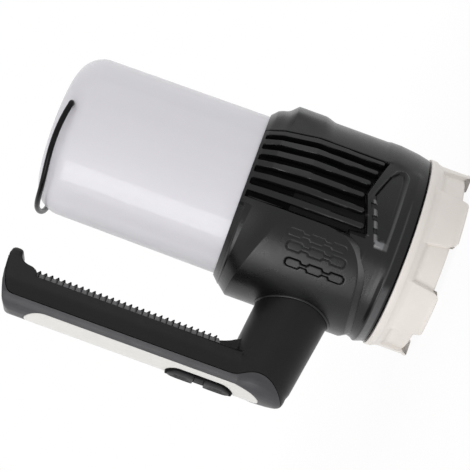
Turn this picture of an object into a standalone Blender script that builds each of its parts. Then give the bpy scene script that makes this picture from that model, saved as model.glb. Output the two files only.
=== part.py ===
# Hand lantern and searchlight: a lamp barrel with a frosted tail and a long grip below it.
# It stands on its head ring, lens down: +Z is the lamp's axis from lens to tail, and the grip lies toward -X.
# Lengths are metres. A depth is a distance from the lamp's axis toward -X, a turn is an angle round the
# axis in degrees, from the grip's direction toward -Y.

import math

import bmesh
import bpy
from mathutils import Matrix, Vector

# Shared values

fit_gap = 0.0003
overrun = 0.004
weld_distance = 0.00001
turned_steps = 48
inner_steps = 24
small_steps = 24
screw_steps = 16
facet_roll = 3.0

# Lamp barrel

barrel_radius = 0.0547
groove_depth = 0.0023
ground_drop = 0.0012
lip_drop = 0.0002
rim_drop = 0.0007
collar_drop = 0.0079
collar_foot_drop = 0.0071
neck_drop = 0.0072
front_wall = 0.0047
barrel_wall = 0.0049
ledge_drop = 0.0167
shoulder_drop = 0.0104
join_drop = 0.0038
join_shoulder_drop = 0.0081
join_mouth_drop = 0.0083

rim_z = 0.0235
rim_edge_z = 0.0262
bore_step_z = 0.0280
lip_back_z = 0.0310
ground_front_z = 0.0340
ground_back_z = 0.0450
ledge_front_z = 0.0430
ledge_back_z = 0.0454
bore_taper_z = 0.0840
taper_z = 0.0870
shoulder_front_z = 0.1040
shoulder_back_z = 0.1076
collar_foot_z = 0.1108
join_shoulder_z = 0.1060
join_top_z = 0.1120
collar_z = 0.1136

# Ribs on both sides of the barrel

rib_count = 6
rib_first_turn = 76.9
rib_pitch_turn = 8.27
rib_width = 0.0034
rib_taper_drop = 0.0005
rib_foot_drop = 0.0058
rib_end_drop = 0.0081
rib_end_z = 0.1122
chevron_turn = 95.0
chevron_z = 0.0540
chevron_low_fall = 0.0003
chevron_high_fall = 0.00026
rib_end_gap = 0.0012

# Lower pad between the post and the ribs

pad_rise = 0.0001
pad_turn = 70.4
pad_straight_turn = 30.0
pad_front_z = 0.0373
pad_front_rise = 0.0155
pad_chamfer = 0.0042
pad_rear_side_z = 0.0887
pad_rear_depth = 0.0187
pad_rear_slope = 0.4426
pad_foot_drop = 0.0055
pad_foot_z = 0.1106

# Relief chains on the lower pad

chain_turns = (44.4, 53.5, 61.7)
chain_front_z = 0.0494
chain_row_shift = 0.0018
chain_link_length = 0.0083
chain_link_pitch = 0.0122
chain_link_width = 0.0040
chain_neck_width = 0.0016
chain_links = 3
chain_height = 0.0004

# Raised front field with the triangular frame

field_drop = 0.0001
field_start_turn = 60.0
field_full_turn = 68.0
field_front_z = 0.0262
frame_turn = 97.0
frame_height = 0.0007
frame_line = 0.0016
frame_front_z = 0.0339
frame_end_z = 0.0420
frame_apex_z = 0.0496
frame_half_width = 0.0252
frame_apex_offset = 0.0010

# Plain panel on the barrel's top

panel_turn = 121.0
panel_rise = 0.0016
panel_flat_drop = 0.0017
panel_bump_drop = 0.0012
panel_nose_drop = 0.0029
panel_edge_drop = 0.0021
panel_shoulder_drop = 0.0046
panel_foot_drop = 0.0063
panel_nose_z = 0.0262
panel_bump_front_z = 0.0410
panel_bump_back_z = 0.0470
panel_flat_front_z = 0.0487
panel_flat_back_z = 0.0787
panel_rise_z = 0.0844
panel_back_z = 0.1001
panel_edge_z = 0.1024
panel_shoulder_z = 0.1056
panel_foot_z = 0.1103
column_turn = 7.5
field_overlap_turn = 1.0

# Head ring

ring_flange_drop = 0.0004
ring_flange_front_drop = 0.0017
ring_tab_drop = 0.0026
ring_recess_drop = 0.0047
ring_mouth_drop = 0.0107
ring_flange_front_z = 0.0179
ring_recess_back_z = 0.0157
ring_recess_front_z = 0.0033
ring_lip_back_z = 0.0053
ring_edge = 0.0006
tab_count = 6
tab_first_turn = 39.2
recess_front_turn = 28.8
recess_back_turn = 23.2
recess_columns = 4

# Lens, seal, reflector and main light source

lens_thickness = 0.0022
seal_thickness = 0.0012
seal_bore_drop = 0.0101
flange_thickness = 0.0012
reflector_mouth_drop = 0.0111
reflector_neck_radius = 0.0070
reflector_wall = 0.0012
reflector_rings = 7
led_board_radius = 0.0110
led_board_thickness = 0.0016
emitter_half_width = 0.0030
emitter_base = 0.0012
emitter_dome_radius = 0.0024

# Heat sink

sink_drop = 0.0102
sink_thickness = 0.0060
sink_groove_shares = (0.45, 0.63, 0.81)
sink_groove_width = 0.0022
sink_groove_depth = 0.0032

# Chassis, cells and boards in the barrel

chassis_drop = 0.0107
chassis_plate = 0.0020
chassis_web = 0.0014
chassis_web_reach = 0.0190
cell_radius = 0.0092
cell_length = 0.0650
cell_cap_radius = 0.0040
cell_cap_height = 0.0012
cell_wall_gap = 0.0003
board_thickness = 0.0016
control_board_drop = 0.0157
control_board_half_width = 0.0130
control_board_length = 0.0460
lantern_board_drop = 0.0207
lantern_led_count = 6
lantern_led_drop = 0.0307
lantern_led_half_width = 0.0025
lantern_led_height = 0.0016
charge_port_half_width = 0.0046
charge_port_half_height = 0.0017
charge_port_cover_gap = 0.0005
charge_port_z = 0.0900
chassis_screw_count = 3
chassis_screw_rise = 0.0032
chassis_screw_radius = 0.0013
chassis_screw_head_radius = 0.0023
chassis_screw_head = 0.0016
chassis_screw_first_turn = 60.0

# Port cover on the top panel

cover_half_width = 0.0080
cover_half_length = 0.0055
cover_thickness = 0.0016

# Frosted diffuser

diffuser_base_drop = 0.0091
diffuser_taper = 0.0008
diffuser_wall = 0.0024
diffuser_corner_radius = 0.0150
diffuser_corner_steps = 6
tail_z = 0.2200
mouth_seal_thickness = 0.0008

# Bail

bail_wire_radius = 0.00105
bail_loop_rise = 0.0006
bail_pivot_z = 0.2130
bail_plane_z = 0.2148
bail_tab_z = 0.2172
bail_pin_drop = 0.0043
bail_hole_gap = 0.0003
bail_bend = 0.0022
bail_points = 24
bail_tab_power = 8

# Post and grip

post_root_drop = 0.0067
post_root_radius = 0.0203
post_end_drop = 0.0065
post_end_radius = 0.0188
post_root_z = 0.0656
post_end_z = 0.0735
post_wall = 0.0028
post_hole_start_share = -0.1
post_hole_end_share = 0.4
post_bore_end_share = 0.98
grip_half_width = 0.0155
grip_thickness = 0.0205
grip_side_drop = 0.0074
grip_band_drop = 0.0031
grip_band_half_width = 0.0118
grip_crown_rise = 0.0518
grip_tail_z = 0.2178
grip_inner_half_width = 0.0137
grip_round_drop = 0.0155
crown_steps = 4
tip_drop = 0.0335
tip_half_width = 0.0070
tip_shoulder_drop = 0.0285
tip_shoulder_half_width = 0.0112
tip_thickness = 0.0072
tip_root = 0.0094
tip_edge = 0.0020
tail_side_fall = 0.0028
tail_mid_drop = 0.0020
tail_mid_fall = 0.0063
tail_low_fall = 0.0108
fork_fillet = 0.0040
fork_turn = 75.0
fork_steps = 4
toe_radius = 0.0187
toe_root_drop = 0.0180
toe_drop = 0.0002
toe_z = 0.0736
seam_rise = 0.0042
seam_rise_z = 0.0880
seam_front_z = 0.0575
seam_front_drop = 0.0035
seam_steps = 5
cavity_half_width = 0.0128
cavity_floor_drop = 0.0181
cavity_front_z = 0.0840
cavity_tail_wall = 0.0148

# Finger pad

finger_half_width = 0.0100
finger_base = 0.0019
finger_tooth = 0.0017
finger_tail_gap = 0.0180
finger_teeth = 29
finger_front_z = 0.1012
finger_ramp = 0.0030
finger_round = 0.0010
tooth_lead_share = 0.38
tooth_top_share = 0.62
tooth_foot_share = 0.78

# Cover, strip and buttons on the grip's outer side

cover_pocket_drop = 0.0053
cover_pocket_half_width = 0.0100
cover_pocket_front_z = 0.0680
cover_pocket_tail_wall = 0.0138
strip_thickness = 0.0012
strip_front_z = 0.0683
strip_tail_gap = 0.0182
strip_half_width = 0.0116
capsule_front_z = 0.0827
capsule_back_z = 0.1201
capsule_half_width = 0.0079
capsule_floor_drop = 0.0043
frame_rise = 0.0003
capsule_wall = 0.0007
button_rise = 0.0016
button_length = 0.0148
button_foot_drop = 0.0051
button_flange = 0.0004
button_flange_thickness = 0.0010
button_stem_radius = 0.0016
button_travel = 0.0008
button_rest_gap = 0.0004
switch_half_width = 0.0030
switch_base = 0.0023
switch_plunger_radius = 0.0016
switch_top_drop = 0.0083
switch_board_drop = 0.0133
switch_board_half_width = 0.0090
switch_board_half_length = 0.0210
switch_boss_radius = 0.0022
grip_screw_radius = 0.0014
grip_screw_head_radius = 0.0026
grip_screw_head = 0.0018
grip_screw_end_drop = 0.0135
grip_screw_front_z = 0.1290
grip_screw_tail_gap = 0.0258
screw_boss_radius = 0.0036
lead_radius = 0.0016
lead_board_inset = 0.0029
lead_plate_drop = 0.0025
lead_route_shares = ((0.951, 1.0), (0.865, 0.892), (0.634, 0.737), (0.364, 0.595), (0.170, 0.425),
                     (0.056, 0.227), (0.012, 0.113), (0.0, 0.057))

# Places worked out from the sizes above

groove_radius = barrel_radius - groove_depth
ground_radius = barrel_radius - ground_drop
lip_radius = barrel_radius - lip_drop
rim_radius = barrel_radius - rim_drop
collar_radius = barrel_radius - collar_drop
collar_foot_radius = barrel_radius - collar_foot_drop
neck_radius = barrel_radius - neck_drop
front_bore_radius = barrel_radius - front_wall
barrel_bore_radius = barrel_radius - barrel_wall
ledge_bore_radius = barrel_radius - ledge_drop
shoulder_bore_radius = barrel_radius - shoulder_drop
join_radius = barrel_radius - join_drop
join_shoulder_radius = barrel_radius - join_shoulder_drop
join_mouth_radius = barrel_radius - join_mouth_drop
rib_taper_radius = barrel_radius - rib_taper_drop
rib_foot_radius = barrel_radius - rib_foot_drop
rib_end_radius = barrel_radius - rib_end_drop
pad_radius = barrel_radius + pad_rise
pad_foot_radius = barrel_radius - pad_foot_drop
field_radius = barrel_radius - field_drop
panel_radius = barrel_radius + panel_rise
panel_flat_radius = panel_radius - panel_flat_drop
panel_bump_radius = panel_radius - panel_bump_drop
panel_nose_radius = panel_radius - panel_nose_drop
panel_edge_radius = panel_radius - panel_edge_drop
panel_shoulder_radius = panel_radius - panel_shoulder_drop
panel_foot_radius = panel_radius - panel_foot_drop
ring_flange_radius = barrel_radius - ring_flange_drop
ring_flange_front_radius = barrel_radius - ring_flange_front_drop
ring_tab_radius = barrel_radius - ring_tab_drop
ring_recess_radius = barrel_radius - ring_recess_drop
ring_mouth_radius = barrel_radius - ring_mouth_drop
seal_bore_radius = barrel_radius - seal_bore_drop
reflector_mouth_radius = barrel_radius - reflector_mouth_drop
sink_radius = barrel_radius - sink_drop
chassis_radius = barrel_radius - chassis_drop
control_board_x = barrel_radius - control_board_drop
lantern_board_radius = barrel_radius - lantern_board_drop
lantern_led_circle = barrel_radius - lantern_led_drop
chassis_screw_circle = ledge_bore_radius + chassis_screw_rise
diffuser_base_radius = barrel_radius - diffuser_base_drop
diffuser_tail_radius = diffuser_base_radius - diffuser_taper
bail_loop_radius = diffuser_base_radius + bail_loop_rise
bail_pin_depth = diffuser_tail_radius - bail_pin_drop
grip_crown_depth = barrel_radius + grip_crown_rise
grip_inner_depth = grip_crown_depth - grip_thickness
grip_side_depth = grip_crown_depth - grip_side_drop
grip_band_depth = grip_crown_depth - grip_band_drop
grip_round_depth = grip_crown_depth - grip_round_drop
tip_depth = grip_crown_depth - tip_drop
tip_shoulder_depth = grip_crown_depth - tip_shoulder_drop
tail_mid_depth = grip_crown_depth - tail_mid_drop
toe_root_depth = grip_crown_depth - toe_root_drop
seam_front_depth = grip_crown_depth - seam_front_drop
cavity_floor_depth = grip_crown_depth - cavity_floor_drop
cover_pocket_depth = grip_crown_depth - cover_pocket_drop
capsule_floor_depth = grip_crown_depth - capsule_floor_drop
button_reach = grip_crown_depth + button_rise
button_foot_depth = grip_crown_depth - button_foot_drop
switch_top_depth = grip_crown_depth - switch_top_drop
switch_board_depth = grip_crown_depth - switch_board_drop
grip_screw_end_depth = grip_crown_depth - grip_screw_end_drop
post_end_depth = grip_crown_depth - post_end_drop
post_root_depth = barrel_radius - post_root_drop
lead_plate_depth = chassis_radius - lead_plate_drop
lamp_x = (button_reach - panel_radius) / 2
tail_side_z = grip_tail_z - tail_side_fall
tail_mid_z = grip_tail_z - tail_mid_fall
tail_low_z = grip_tail_z - tail_low_fall
cavity_back_z = grip_tail_z - cavity_tail_wall
cover_pocket_back_z = grip_tail_z - cover_pocket_tail_wall
strip_back_z = grip_tail_z - strip_tail_gap
finger_pitch = (grip_tail_z - finger_tail_gap - finger_front_z) / finger_teeth
grip_screw_heights = (grip_screw_front_z, grip_tail_z - grip_screw_tail_gap)
capsule_middle_z = (capsule_front_z + capsule_back_z) / 2
lead_board_height = capsule_middle_z - switch_board_half_length + lead_board_inset
ring_bore_radius = neck_radius + fit_gap
ring_top_z = rim_z - fit_gap
lens_radius = ring_bore_radius - fit_gap
neck_bore_radius = reflector_mouth_radius + reflector_wall + fit_gap
mouth_bore_radius = diffuser_base_radius + fit_gap
chassis_rear_radius = diffuser_base_radius - diffuser_wall - fit_gap
button_stem_depth = switch_top_depth + button_travel + button_rest_gap
lens_front_z = ring_lip_back_z + fit_gap
seal_front_z = lens_front_z + lens_thickness + fit_gap
flange_front_z = seal_front_z + seal_thickness + fit_gap
neck_front_z = flange_front_z + flange_thickness + fit_gap
sink_front_z = ledge_front_z - fit_gap - sink_thickness
led_board_z = sink_front_z - fit_gap - led_board_thickness
chassis_front_z = ledge_back_z + fit_gap
cell_front_z = chassis_front_z + chassis_plate + cell_wall_gap
cell_back_z = cell_front_z + cell_length
chassis_rear_z = cell_back_z + cell_wall_gap
lantern_board_z = chassis_rear_z + chassis_plate + fit_gap
cell_offset = cell_radius + chassis_web / 2 + cell_wall_gap
diffuser_front_z = shoulder_back_z + fit_gap + mouth_seal_thickness + fit_gap


collection = bpy.data.collections.new("led_flashlight")
cutter_collection = bpy.data.collections.new("cutters")


def clear_scene():
    for item in list(bpy.data.objects):
        bpy.data.objects.remove(item)
    bpy.context.scene.collection.children.link(collection)
    bpy.context.scene.collection.children.link(cutter_collection)


def material(name, colour, roughness, metallic=0.0):
    made = bpy.data.materials.new(name)
    made.use_nodes = True
    shader = made.node_tree.nodes["Principled BSDF"]
    shader.inputs["Base Color"].default_value = (*colour, 1.0)
    shader.inputs["Roughness"].default_value = roughness
    shader.inputs["Metallic"].default_value = metallic
    return made


def new_object(name, mesh, as_cutter=False):
    made = bpy.data.objects.new(name, mesh)
    if as_cutter:
        cutter_collection.objects.link(made)
        made.hide_render = True
        made.display_type = "WIRE"
    else:
        collection.objects.link(made)
    return made


def finish(piece, skin, sharp_angle=32.0):
    piece.data.materials.clear()
    piece.data.materials.append(skin)
    piece.data.shade_smooth()
    piece.data.set_sharp_from_angle(angle=math.radians(sharp_angle))
    return piece


def around(radius, turn, z):
    angle = math.radians(turn)
    return Vector((lamp_x - radius * math.cos(angle), -radius * math.sin(angle), z))


def turned(name, profile, steps=turned_steps, closed=True, as_cutter=False, place=None):
    """A turned piece. Its profile runs down the outer side, as (radius, height) points."""
    mesh = bpy.data.meshes.new(name)
    points = [(radius, 0.0, height) for radius, height in profile]
    edges = [(i, i + 1) for i in range(len(points) - 1)]
    if closed:
        edges.append((len(points) - 1, 0))
    mesh.from_pydata(points, edges, [])
    piece = new_object(name, mesh, as_cutter)
    screw = piece.modifiers.new("turn", "SCREW")
    screw.axis = "Z"
    screw.angle = math.tau
    screw.steps = steps
    screw.render_steps = steps
    screw.use_merge_vertices = True
    screw.merge_threshold = weld_distance
    piece.matrix_world = place if place else Matrix.Translation((lamp_x, 0.0, 0.0))
    return piece


def disc(name, radius, bottom, top, steps=turned_steps, as_cutter=False, place=None):
    profile = [(0.0, top), (radius, top), (radius, bottom), (0.0, bottom)]
    return turned(name, profile, steps, False, as_cutter, place)


def ring(name, outer, inner, bottom, top, steps=turned_steps, as_cutter=False, place=None):
    profile = [(outer, top), (outer, bottom), (inner, bottom), (inner, top)]
    return turned(name, profile, steps, True, as_cutter, place)


def plate(name, outlines, thickness, place, as_cutter=False):
    """A flat outline given thickness to both sides of its plane. Later outlines are holes."""
    curve = bpy.data.curves.new(name, "CURVE")
    curve.dimensions = "2D"
    curve.fill_mode = "BOTH"
    curve.extrude = thickness / 2
    for outline in outlines:
        spline = curve.splines.new("POLY")
        spline.points.add(len(outline) - 1)
        for point, (across, along) in zip(spline.points, outline):
            point.co = (across, along, 0.0, 1.0)
        spline.use_cyclic_u = True
    return from_curve(name, curve, place, as_cutter)


def from_curve(name, curve, place, as_cutter=False):
    guide = bpy.data.objects.new(name + "_guide", curve)
    bpy.context.scene.collection.objects.link(guide)
    guide.matrix_world = place
    bpy.context.view_layer.update()
    evaluated = guide.evaluated_get(bpy.context.evaluated_depsgraph_get())
    mesh = bpy.data.meshes.new_from_object(evaluated)
    welded = bmesh.new()
    welded.from_mesh(mesh)
    bmesh.ops.remove_doubles(welded, verts=welded.verts, dist=weld_distance)
    welded.to_mesh(mesh)
    welded.free()
    mesh.name = name
    piece = new_object(name, mesh, as_cutter)
    piece.matrix_world = guide.matrix_world.copy()
    bpy.data.objects.remove(guide)
    return piece


def wire(name, points, radius, sides=2, as_cutter=False):
    curve = bpy.data.curves.new(name, "CURVE")
    curve.dimensions = "3D"
    curve.bevel_depth = radius
    curve.bevel_resolution = sides
    curve.use_fill_caps = True
    spline = curve.splines.new("POLY")
    spline.points.add(len(points) - 1)
    for point, place in zip(spline.points, points):
        point.co = (*place, 1.0)
    return from_curve(name, curve, Matrix.Identity(4), as_cutter)


def box(name, low, high, as_cutter=False):
    mesh = bpy.data.meshes.new(name)
    body = bmesh.new()
    bmesh.ops.create_cube(body, size=1.0)
    middle = (Vector(low) + Vector(high)) / 2
    size = Vector(high) - Vector(low)
    for vertex in body.verts:
        vertex.co = Vector([m + c * s for m, c, s in zip(middle, vertex.co, size)])
    body.to_mesh(mesh)
    body.free()
    return new_object(name, mesh, as_cutter)


def loft(name, sections, as_cutter=False):
    """A closed body through sections that all have the same number of points."""
    body = bmesh.new()
    rows = [[body.verts.new(point) for point in section] for section in sections]
    count = len(sections[0])
    for row, following in zip(rows, rows[1:]):
        for i in range(count):
            j = (i + 1) % count
            body.faces.new((row[i], row[j], following[j], following[i]))
    body.faces.new(list(reversed(rows[0])))
    body.faces.new(rows[-1])
    bmesh.ops.recalc_face_normals(body, faces=body.faces)
    mesh = bpy.data.meshes.new(name)
    body.to_mesh(mesh)
    body.free()
    return new_object(name, mesh, as_cutter)


def joined(name, pieces):
    """One cutter made of several closed bodies."""
    body = bmesh.new()
    for piece in pieces:
        bpy.context.view_layer.update()
        copy = piece.data.copy()
        copy.transform(piece.matrix_world)
        body.from_mesh(copy)
        bpy.data.meshes.remove(copy)
        bpy.data.objects.remove(piece)
    mesh = bpy.data.meshes.new(name)
    body.to_mesh(mesh)
    body.free()
    return new_object(name, mesh, True)


def combine(piece, tool, operation="DIFFERENCE", solver="EXACT"):
    boolean = piece.modifiers.new(tool.name, "BOOLEAN")
    boolean.operation = operation
    boolean.solver = solver
    boolean.object = tool
    return piece


def arc(centre_across, centre_along, radius, start, end, steps):
    angles = [math.radians(start + (end - start) * i / steps) for i in range(steps + 1)]
    return [(centre_across + radius * math.cos(a), centre_along + radius * math.sin(a)) for a in angles]


def capsule(half_width, front, back, steps=8):
    """A flat outline with round ends, as (across, along) points."""
    lower = arc(0.0, front + half_width, half_width, 180.0, 360.0, steps)
    upper = arc(0.0, back - half_width, half_width, 0.0, 180.0, steps)
    return lower + upper


def facing_grip(depth):
    """The plane square to the grip's direction: across is +Y, along is +Z, and thickness lies on X."""
    across, along, out = (1.0, 0.0, 0.0, 0.0), (0.0, 1.0, 0.0, 0.0), (0.0, 0.0, 1.0, lamp_x - depth)
    return Matrix((out, across, along, (0.0, 0.0, 0.0, 1.0)))


def side_plane():
    """The plane of the lamp's axis and grip: across is depth, along is +Z, and thickness lies on Y."""
    return Matrix((
        (-1.0, 0.0, 0.0, lamp_x),
        (0.0, 0.0, 1.0, 0.0),
        (0.0, 1.0, 0.0, 0.0),
        (0.0, 0.0, 0.0, 1.0),
    ))


def toward_grip(z):
    """A turning axis that points away from the lamp through the grip at height z."""
    roll = Matrix.Rotation(math.radians(facet_roll), 4, "Z")
    return Matrix.Translation((lamp_x, 0.0, z)) @ Matrix.Rotation(math.radians(-90.0), 4, "Y") @ roll


def aimed(start, end):
    """A turning axis that starts at one point and points to another."""
    direction = Vector(end) - Vector(start)
    return Matrix.Translation(Vector(start)) @ direction.to_track_quat("Z", "Y").to_matrix().to_4x4()


def radial_plane(turn):
    """The plane through the lamp's axis at a turn: across is the radius, along is +Z."""
    angle = math.radians(turn)
    out_x, out_y = -math.cos(angle), -math.sin(angle)
    return Matrix((
        (out_x, 0.0, out_y, lamp_x),
        (out_y, 0.0, -out_x, 0.0),
        (0.0, 1.0, 0.0, 0.0),
        (0.0, 0.0, 0.0, 1.0),
    ))


def tangent_plane(turn, radius):
    """The plane that faces outward at a turn: across runs round the axis, along is +Z."""
    angle = math.radians(turn)
    out_x, out_y = -math.cos(angle), -math.sin(angle)
    place = around(radius, turn, 0.0)
    return Matrix((
        (-out_y, 0.0, out_x, place.x),
        (out_x, 0.0, out_y, place.y),
        (0.0, 1.0, 0.0, 0.0),
        (0.0, 0.0, 0.0, 1.0),
    ))


def turns_between(first, last):
    count = max(2, math.ceil(abs(last - first) / column_turn))
    return [first + (last - first) * i / count for i in range(count + 1)]


def band(name, sections_by_turn):
    """A body that runs round the barrel through (turn, (radius, height) points) sections."""
    return loft(name, [[around(r, turn, z) for r, z in section] for turn, section in sections_by_turn], True)


# The moulded barrel


def pad_front(turn):
    share = max(0.0, (abs(turn) - pad_straight_turn) / (pad_turn - pad_straight_turn))
    return pad_front_z + pad_front_rise * (1.0 - math.sqrt(max(0.0, 1.0 - share * share)))


def pad_section(turn):
    rear_z = pad_rear_side_z + (pad_radius * math.cos(math.radians(turn)) - pad_rear_depth) * pad_rear_slope
    front_z = pad_front(turn)
    fall = (ground_radius - join_radius) * pad_chamfer / (pad_radius - ground_radius)
    return [
        (join_mouth_radius, join_top_z),
        (pad_foot_radius, pad_foot_z),
        (pad_radius, rear_z),
        (pad_radius, front_z + pad_chamfer),
        (join_radius, front_z - fall),
        (join_radius, taper_z),
        (join_shoulder_radius, join_shoulder_z),
    ]


def rib_end(turn):
    if turn < chevron_turn:
        return chevron_z - chevron_low_fall * (chevron_turn - turn)
    return chevron_z - chevron_high_fall * (turn - chevron_turn)


def field_section(turn):
    share = min(1.0, max(0.0, (turn - field_start_turn) / (field_full_turn - field_start_turn)))
    radius = groove_radius + (field_radius - groove_radius) * share
    nose = groove_radius + (panel_nose_radius - groove_radius) * share
    wall_z = rib_end(turn) - rib_end_gap
    return [
        (join_radius, wall_z),
        (radius, wall_z),
        (radius, ground_front_z),
        (nose, field_front_z),
        (join_radius, field_front_z),
    ]


def panel_section():
    return [
        (join_mouth_radius, join_top_z),
        (panel_foot_radius, panel_foot_z),
        (panel_shoulder_radius, panel_shoulder_z),
        (panel_edge_radius, panel_edge_z),
        (panel_radius, panel_back_z),
        (panel_radius, panel_rise_z),
        (panel_flat_radius, panel_flat_back_z),
        (panel_flat_radius, panel_flat_front_z),
        (panel_bump_radius, panel_bump_back_z),
        (panel_bump_radius, panel_bump_front_z),
        (panel_nose_radius, panel_nose_z),
        (join_radius, panel_nose_z),
        (join_radius, taper_z),
        (join_shoulder_radius, join_shoulder_z),
    ]


def rib_bars():
    bars = []
    for index in range(rib_count):
        turn = rib_first_turn + rib_pitch_turn * index
        outline = [
            (join_radius, rib_end(turn)),
            (barrel_radius, rib_end(turn)),
            (barrel_radius, bore_taper_z),
            (rib_taper_radius, taper_z),
            (rib_foot_radius, collar_foot_z),
            (rib_end_radius, rib_end_z),
            (join_shoulder_radius, join_shoulder_z),
            (join_radius, taper_z),
        ]
        bars.append(plate("rib_bar", [outline], rib_width, radial_plane(turn), True))
    return joined("rib_bars", bars)


def triangle_frame():
    half, line = frame_half_width, frame_line
    outer = [
        (-half, frame_front_z),
        (half, frame_front_z),
        (half, frame_end_z),
        (-frame_apex_offset, frame_apex_z),
        (-half, frame_end_z),
    ]
    rise = (frame_apex_z - frame_end_z) / half
    inset = line * (math.hypot(1.0, rise) + rise)
    inner = [
        (-half + line, frame_front_z + line),
        (half - line, frame_front_z + line),
        (half - line, frame_end_z - inset + line * rise),
        (-frame_apex_offset, frame_apex_z - line * math.hypot(1.0, rise)),
        (-half + line, frame_end_z - inset + line * rise),
    ]
    place = tangent_plane(frame_turn, field_radius)
    outline = plate("triangle_frame", [outer, inner], 2 * overrun, place, True)
    shell = ring("triangle_skin", field_radius + frame_height, ground_radius, frame_front_z - overrun,
                 frame_apex_z + overrun, as_cutter=True)
    return combine(outline, shell, "INTERSECT")


def chain_outline(front_z):
    wide, narrow, corner = chain_link_width / 2, chain_neck_width / 2, chain_neck_width / 2
    side = []
    for index in range(chain_links):
        start = front_z + chain_link_pitch * index
        end = start + chain_link_length
        side += [(narrow, start), (wide, start + corner), (wide, end - corner), (narrow, end)]
    return side + [(-across, along) for across, along in reversed(side)]


def chains():
    rows = []
    for index, turn in enumerate(chain_turns):
        outline = chain_outline(chain_front_z + chain_row_shift * index)
        rows.append(plate("chain_row", [outline], 2 * overrun, tangent_plane(turn, pad_radius), True))
    top_z = chain_front_z + chain_link_pitch * (chain_links + 1)
    shell = ring("chain_skin", pad_radius + chain_height, ground_radius, chain_front_z - overrun, top_z,
                 as_cutter=True)
    return combine(joined("chain_rows", rows), shell, "INTERSECT")


def post_line():
    return Vector((lamp_x - post_root_depth, 0.0, post_root_z)), Vector((lamp_x - post_end_depth, 0.0, post_end_z))


def post_cone(name, grow, start_share, end_share, as_cutter):
    """The post's cone, thicker by grow, over a stretch of its length given in shares."""
    start, end = post_line()
    length = (end - start).length
    low = post_root_radius + (post_end_radius - post_root_radius) * start_share + grow
    high = post_root_radius + (post_end_radius - post_root_radius) * end_share + grow
    profile = [(0.0, length * end_share), (high, length * end_share), (low, length * start_share),
               (0.0, length * start_share)]
    return turned(name, profile, turned_steps, False, as_cutter, aimed(start, end))


def housing():
    profile = [
        (collar_radius, collar_z),
        (collar_foot_radius, collar_foot_z),
        (groove_radius, taper_z),
        (groove_radius, ground_back_z),
        (ground_radius, ground_back_z),
        (ground_radius, ground_front_z),
        (lip_radius, lip_back_z),
        (lip_radius, rim_edge_z),
        (rim_radius, rim_z),
        (neck_radius, rim_z),
        (neck_radius, neck_front_z),
        (neck_bore_radius, neck_front_z),
        (neck_bore_radius, rim_edge_z),
        (front_bore_radius, bore_step_z),
        (front_bore_radius, ledge_front_z),
        (ledge_bore_radius, ledge_front_z),
        (ledge_bore_radius, ledge_back_z),
        (barrel_bore_radius, ledge_back_z),
        (barrel_bore_radius, bore_taper_z),
        (shoulder_bore_radius, shoulder_front_z),
        (shoulder_bore_radius, shoulder_back_z),
        (mouth_bore_radius, shoulder_back_z),
        (mouth_bore_radius, collar_z),
    ]
    body = turned("housing", profile)
    pad_turns = turns_between(-column_turn, pad_turn)
    combine(body, band("lower_pad", [(turn, pad_section(turn)) for turn in pad_turns]), "UNION")
    field_turns = turns_between(field_start_turn, field_full_turn)
    field_turns += turns_between(field_full_turn, chevron_turn)[1:]
    field_turns += turns_between(chevron_turn, panel_turn + field_overlap_turn)[1:]
    combine(body, band("front_field", [(turn, field_section(turn)) for turn in field_turns]), "UNION")
    panel_turns = turns_between(panel_turn, 180.0 + column_turn)
    combine(body, band("top_panel", [(turn, panel_section()) for turn in panel_turns]), "UNION")
    combine(body, rib_bars(), "UNION")
    combine(body, triangle_frame(), "UNION")
    combine(body, chains(), "UNION")
    mirror = body.modifiers.new("other_side", "MIRROR")
    mirror.use_axis = (False, True, False)
    mirror.use_bisect_axis = (False, True, False)
    mirror.use_bisect_flip_axis = (False, True, False)
    mirror.merge_threshold = weld_distance
    combine(body, post_cone("post_hole", fit_gap, post_hole_start_share, post_hole_end_share, True))
    combine(body, port_cuts())
    combine(body, screw_holes("ledge_holes", ledge_front_z, ledge_back_z))
    return finish(body, material("housing_black", (0.022, 0.022, 0.024), 0.42))


def cover_place():
    flat_x = lamp_x + math.sqrt(panel_radius ** 2 - cover_half_width ** 2)
    hinge_z = charge_port_z + cover_half_length
    return flat_x, hinge_z


def port_cuts():
    flat_x, hinge_z = cover_place()
    round_radius = cover_thickness / 2
    bed = box("cover_bed",
              (flat_x - cover_thickness - fit_gap, -cover_half_width - fit_gap,
               charge_port_z - cover_half_length - fit_gap),
              (lamp_x + panel_radius + overrun, cover_half_width + fit_gap, hinge_z + round_radius + fit_gap), True)
    slot = box("port_slot",
               (lamp_x + barrel_bore_radius - overrun, -charge_port_half_width - fit_gap,
                charge_port_z - charge_port_half_height - fit_gap),
               (flat_x, charge_port_half_width + fit_gap, charge_port_z + charge_port_half_height + fit_gap), True)
    combine(bed, slot, "UNION")
    return bed


def screw_places():
    step = 360.0 / chassis_screw_count
    return [around(chassis_screw_circle, chassis_screw_first_turn + step * i, 0.0)
            for i in range(chassis_screw_count)]


def screw_holes(name, low_z, high_z):
    holes = []
    for place in screw_places():
        spot = Matrix.Translation(place)
        hole = disc("screw_hole", chassis_screw_radius + fit_gap, low_z - overrun, high_z + overrun, screw_steps,
                    True, spot)
        holes.append(baked(hole))
    return joined(name, holes)


def baked(piece):
    """The same cutter with its modifiers made part of its mesh."""
    bpy.context.view_layer.update()
    evaluated = piece.evaluated_get(bpy.context.evaluated_depsgraph_get())
    mesh = bpy.data.meshes.new_from_object(evaluated)
    piece.modifiers.clear()
    piece.data = mesh
    return piece


# The head ring and what it holds


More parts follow.
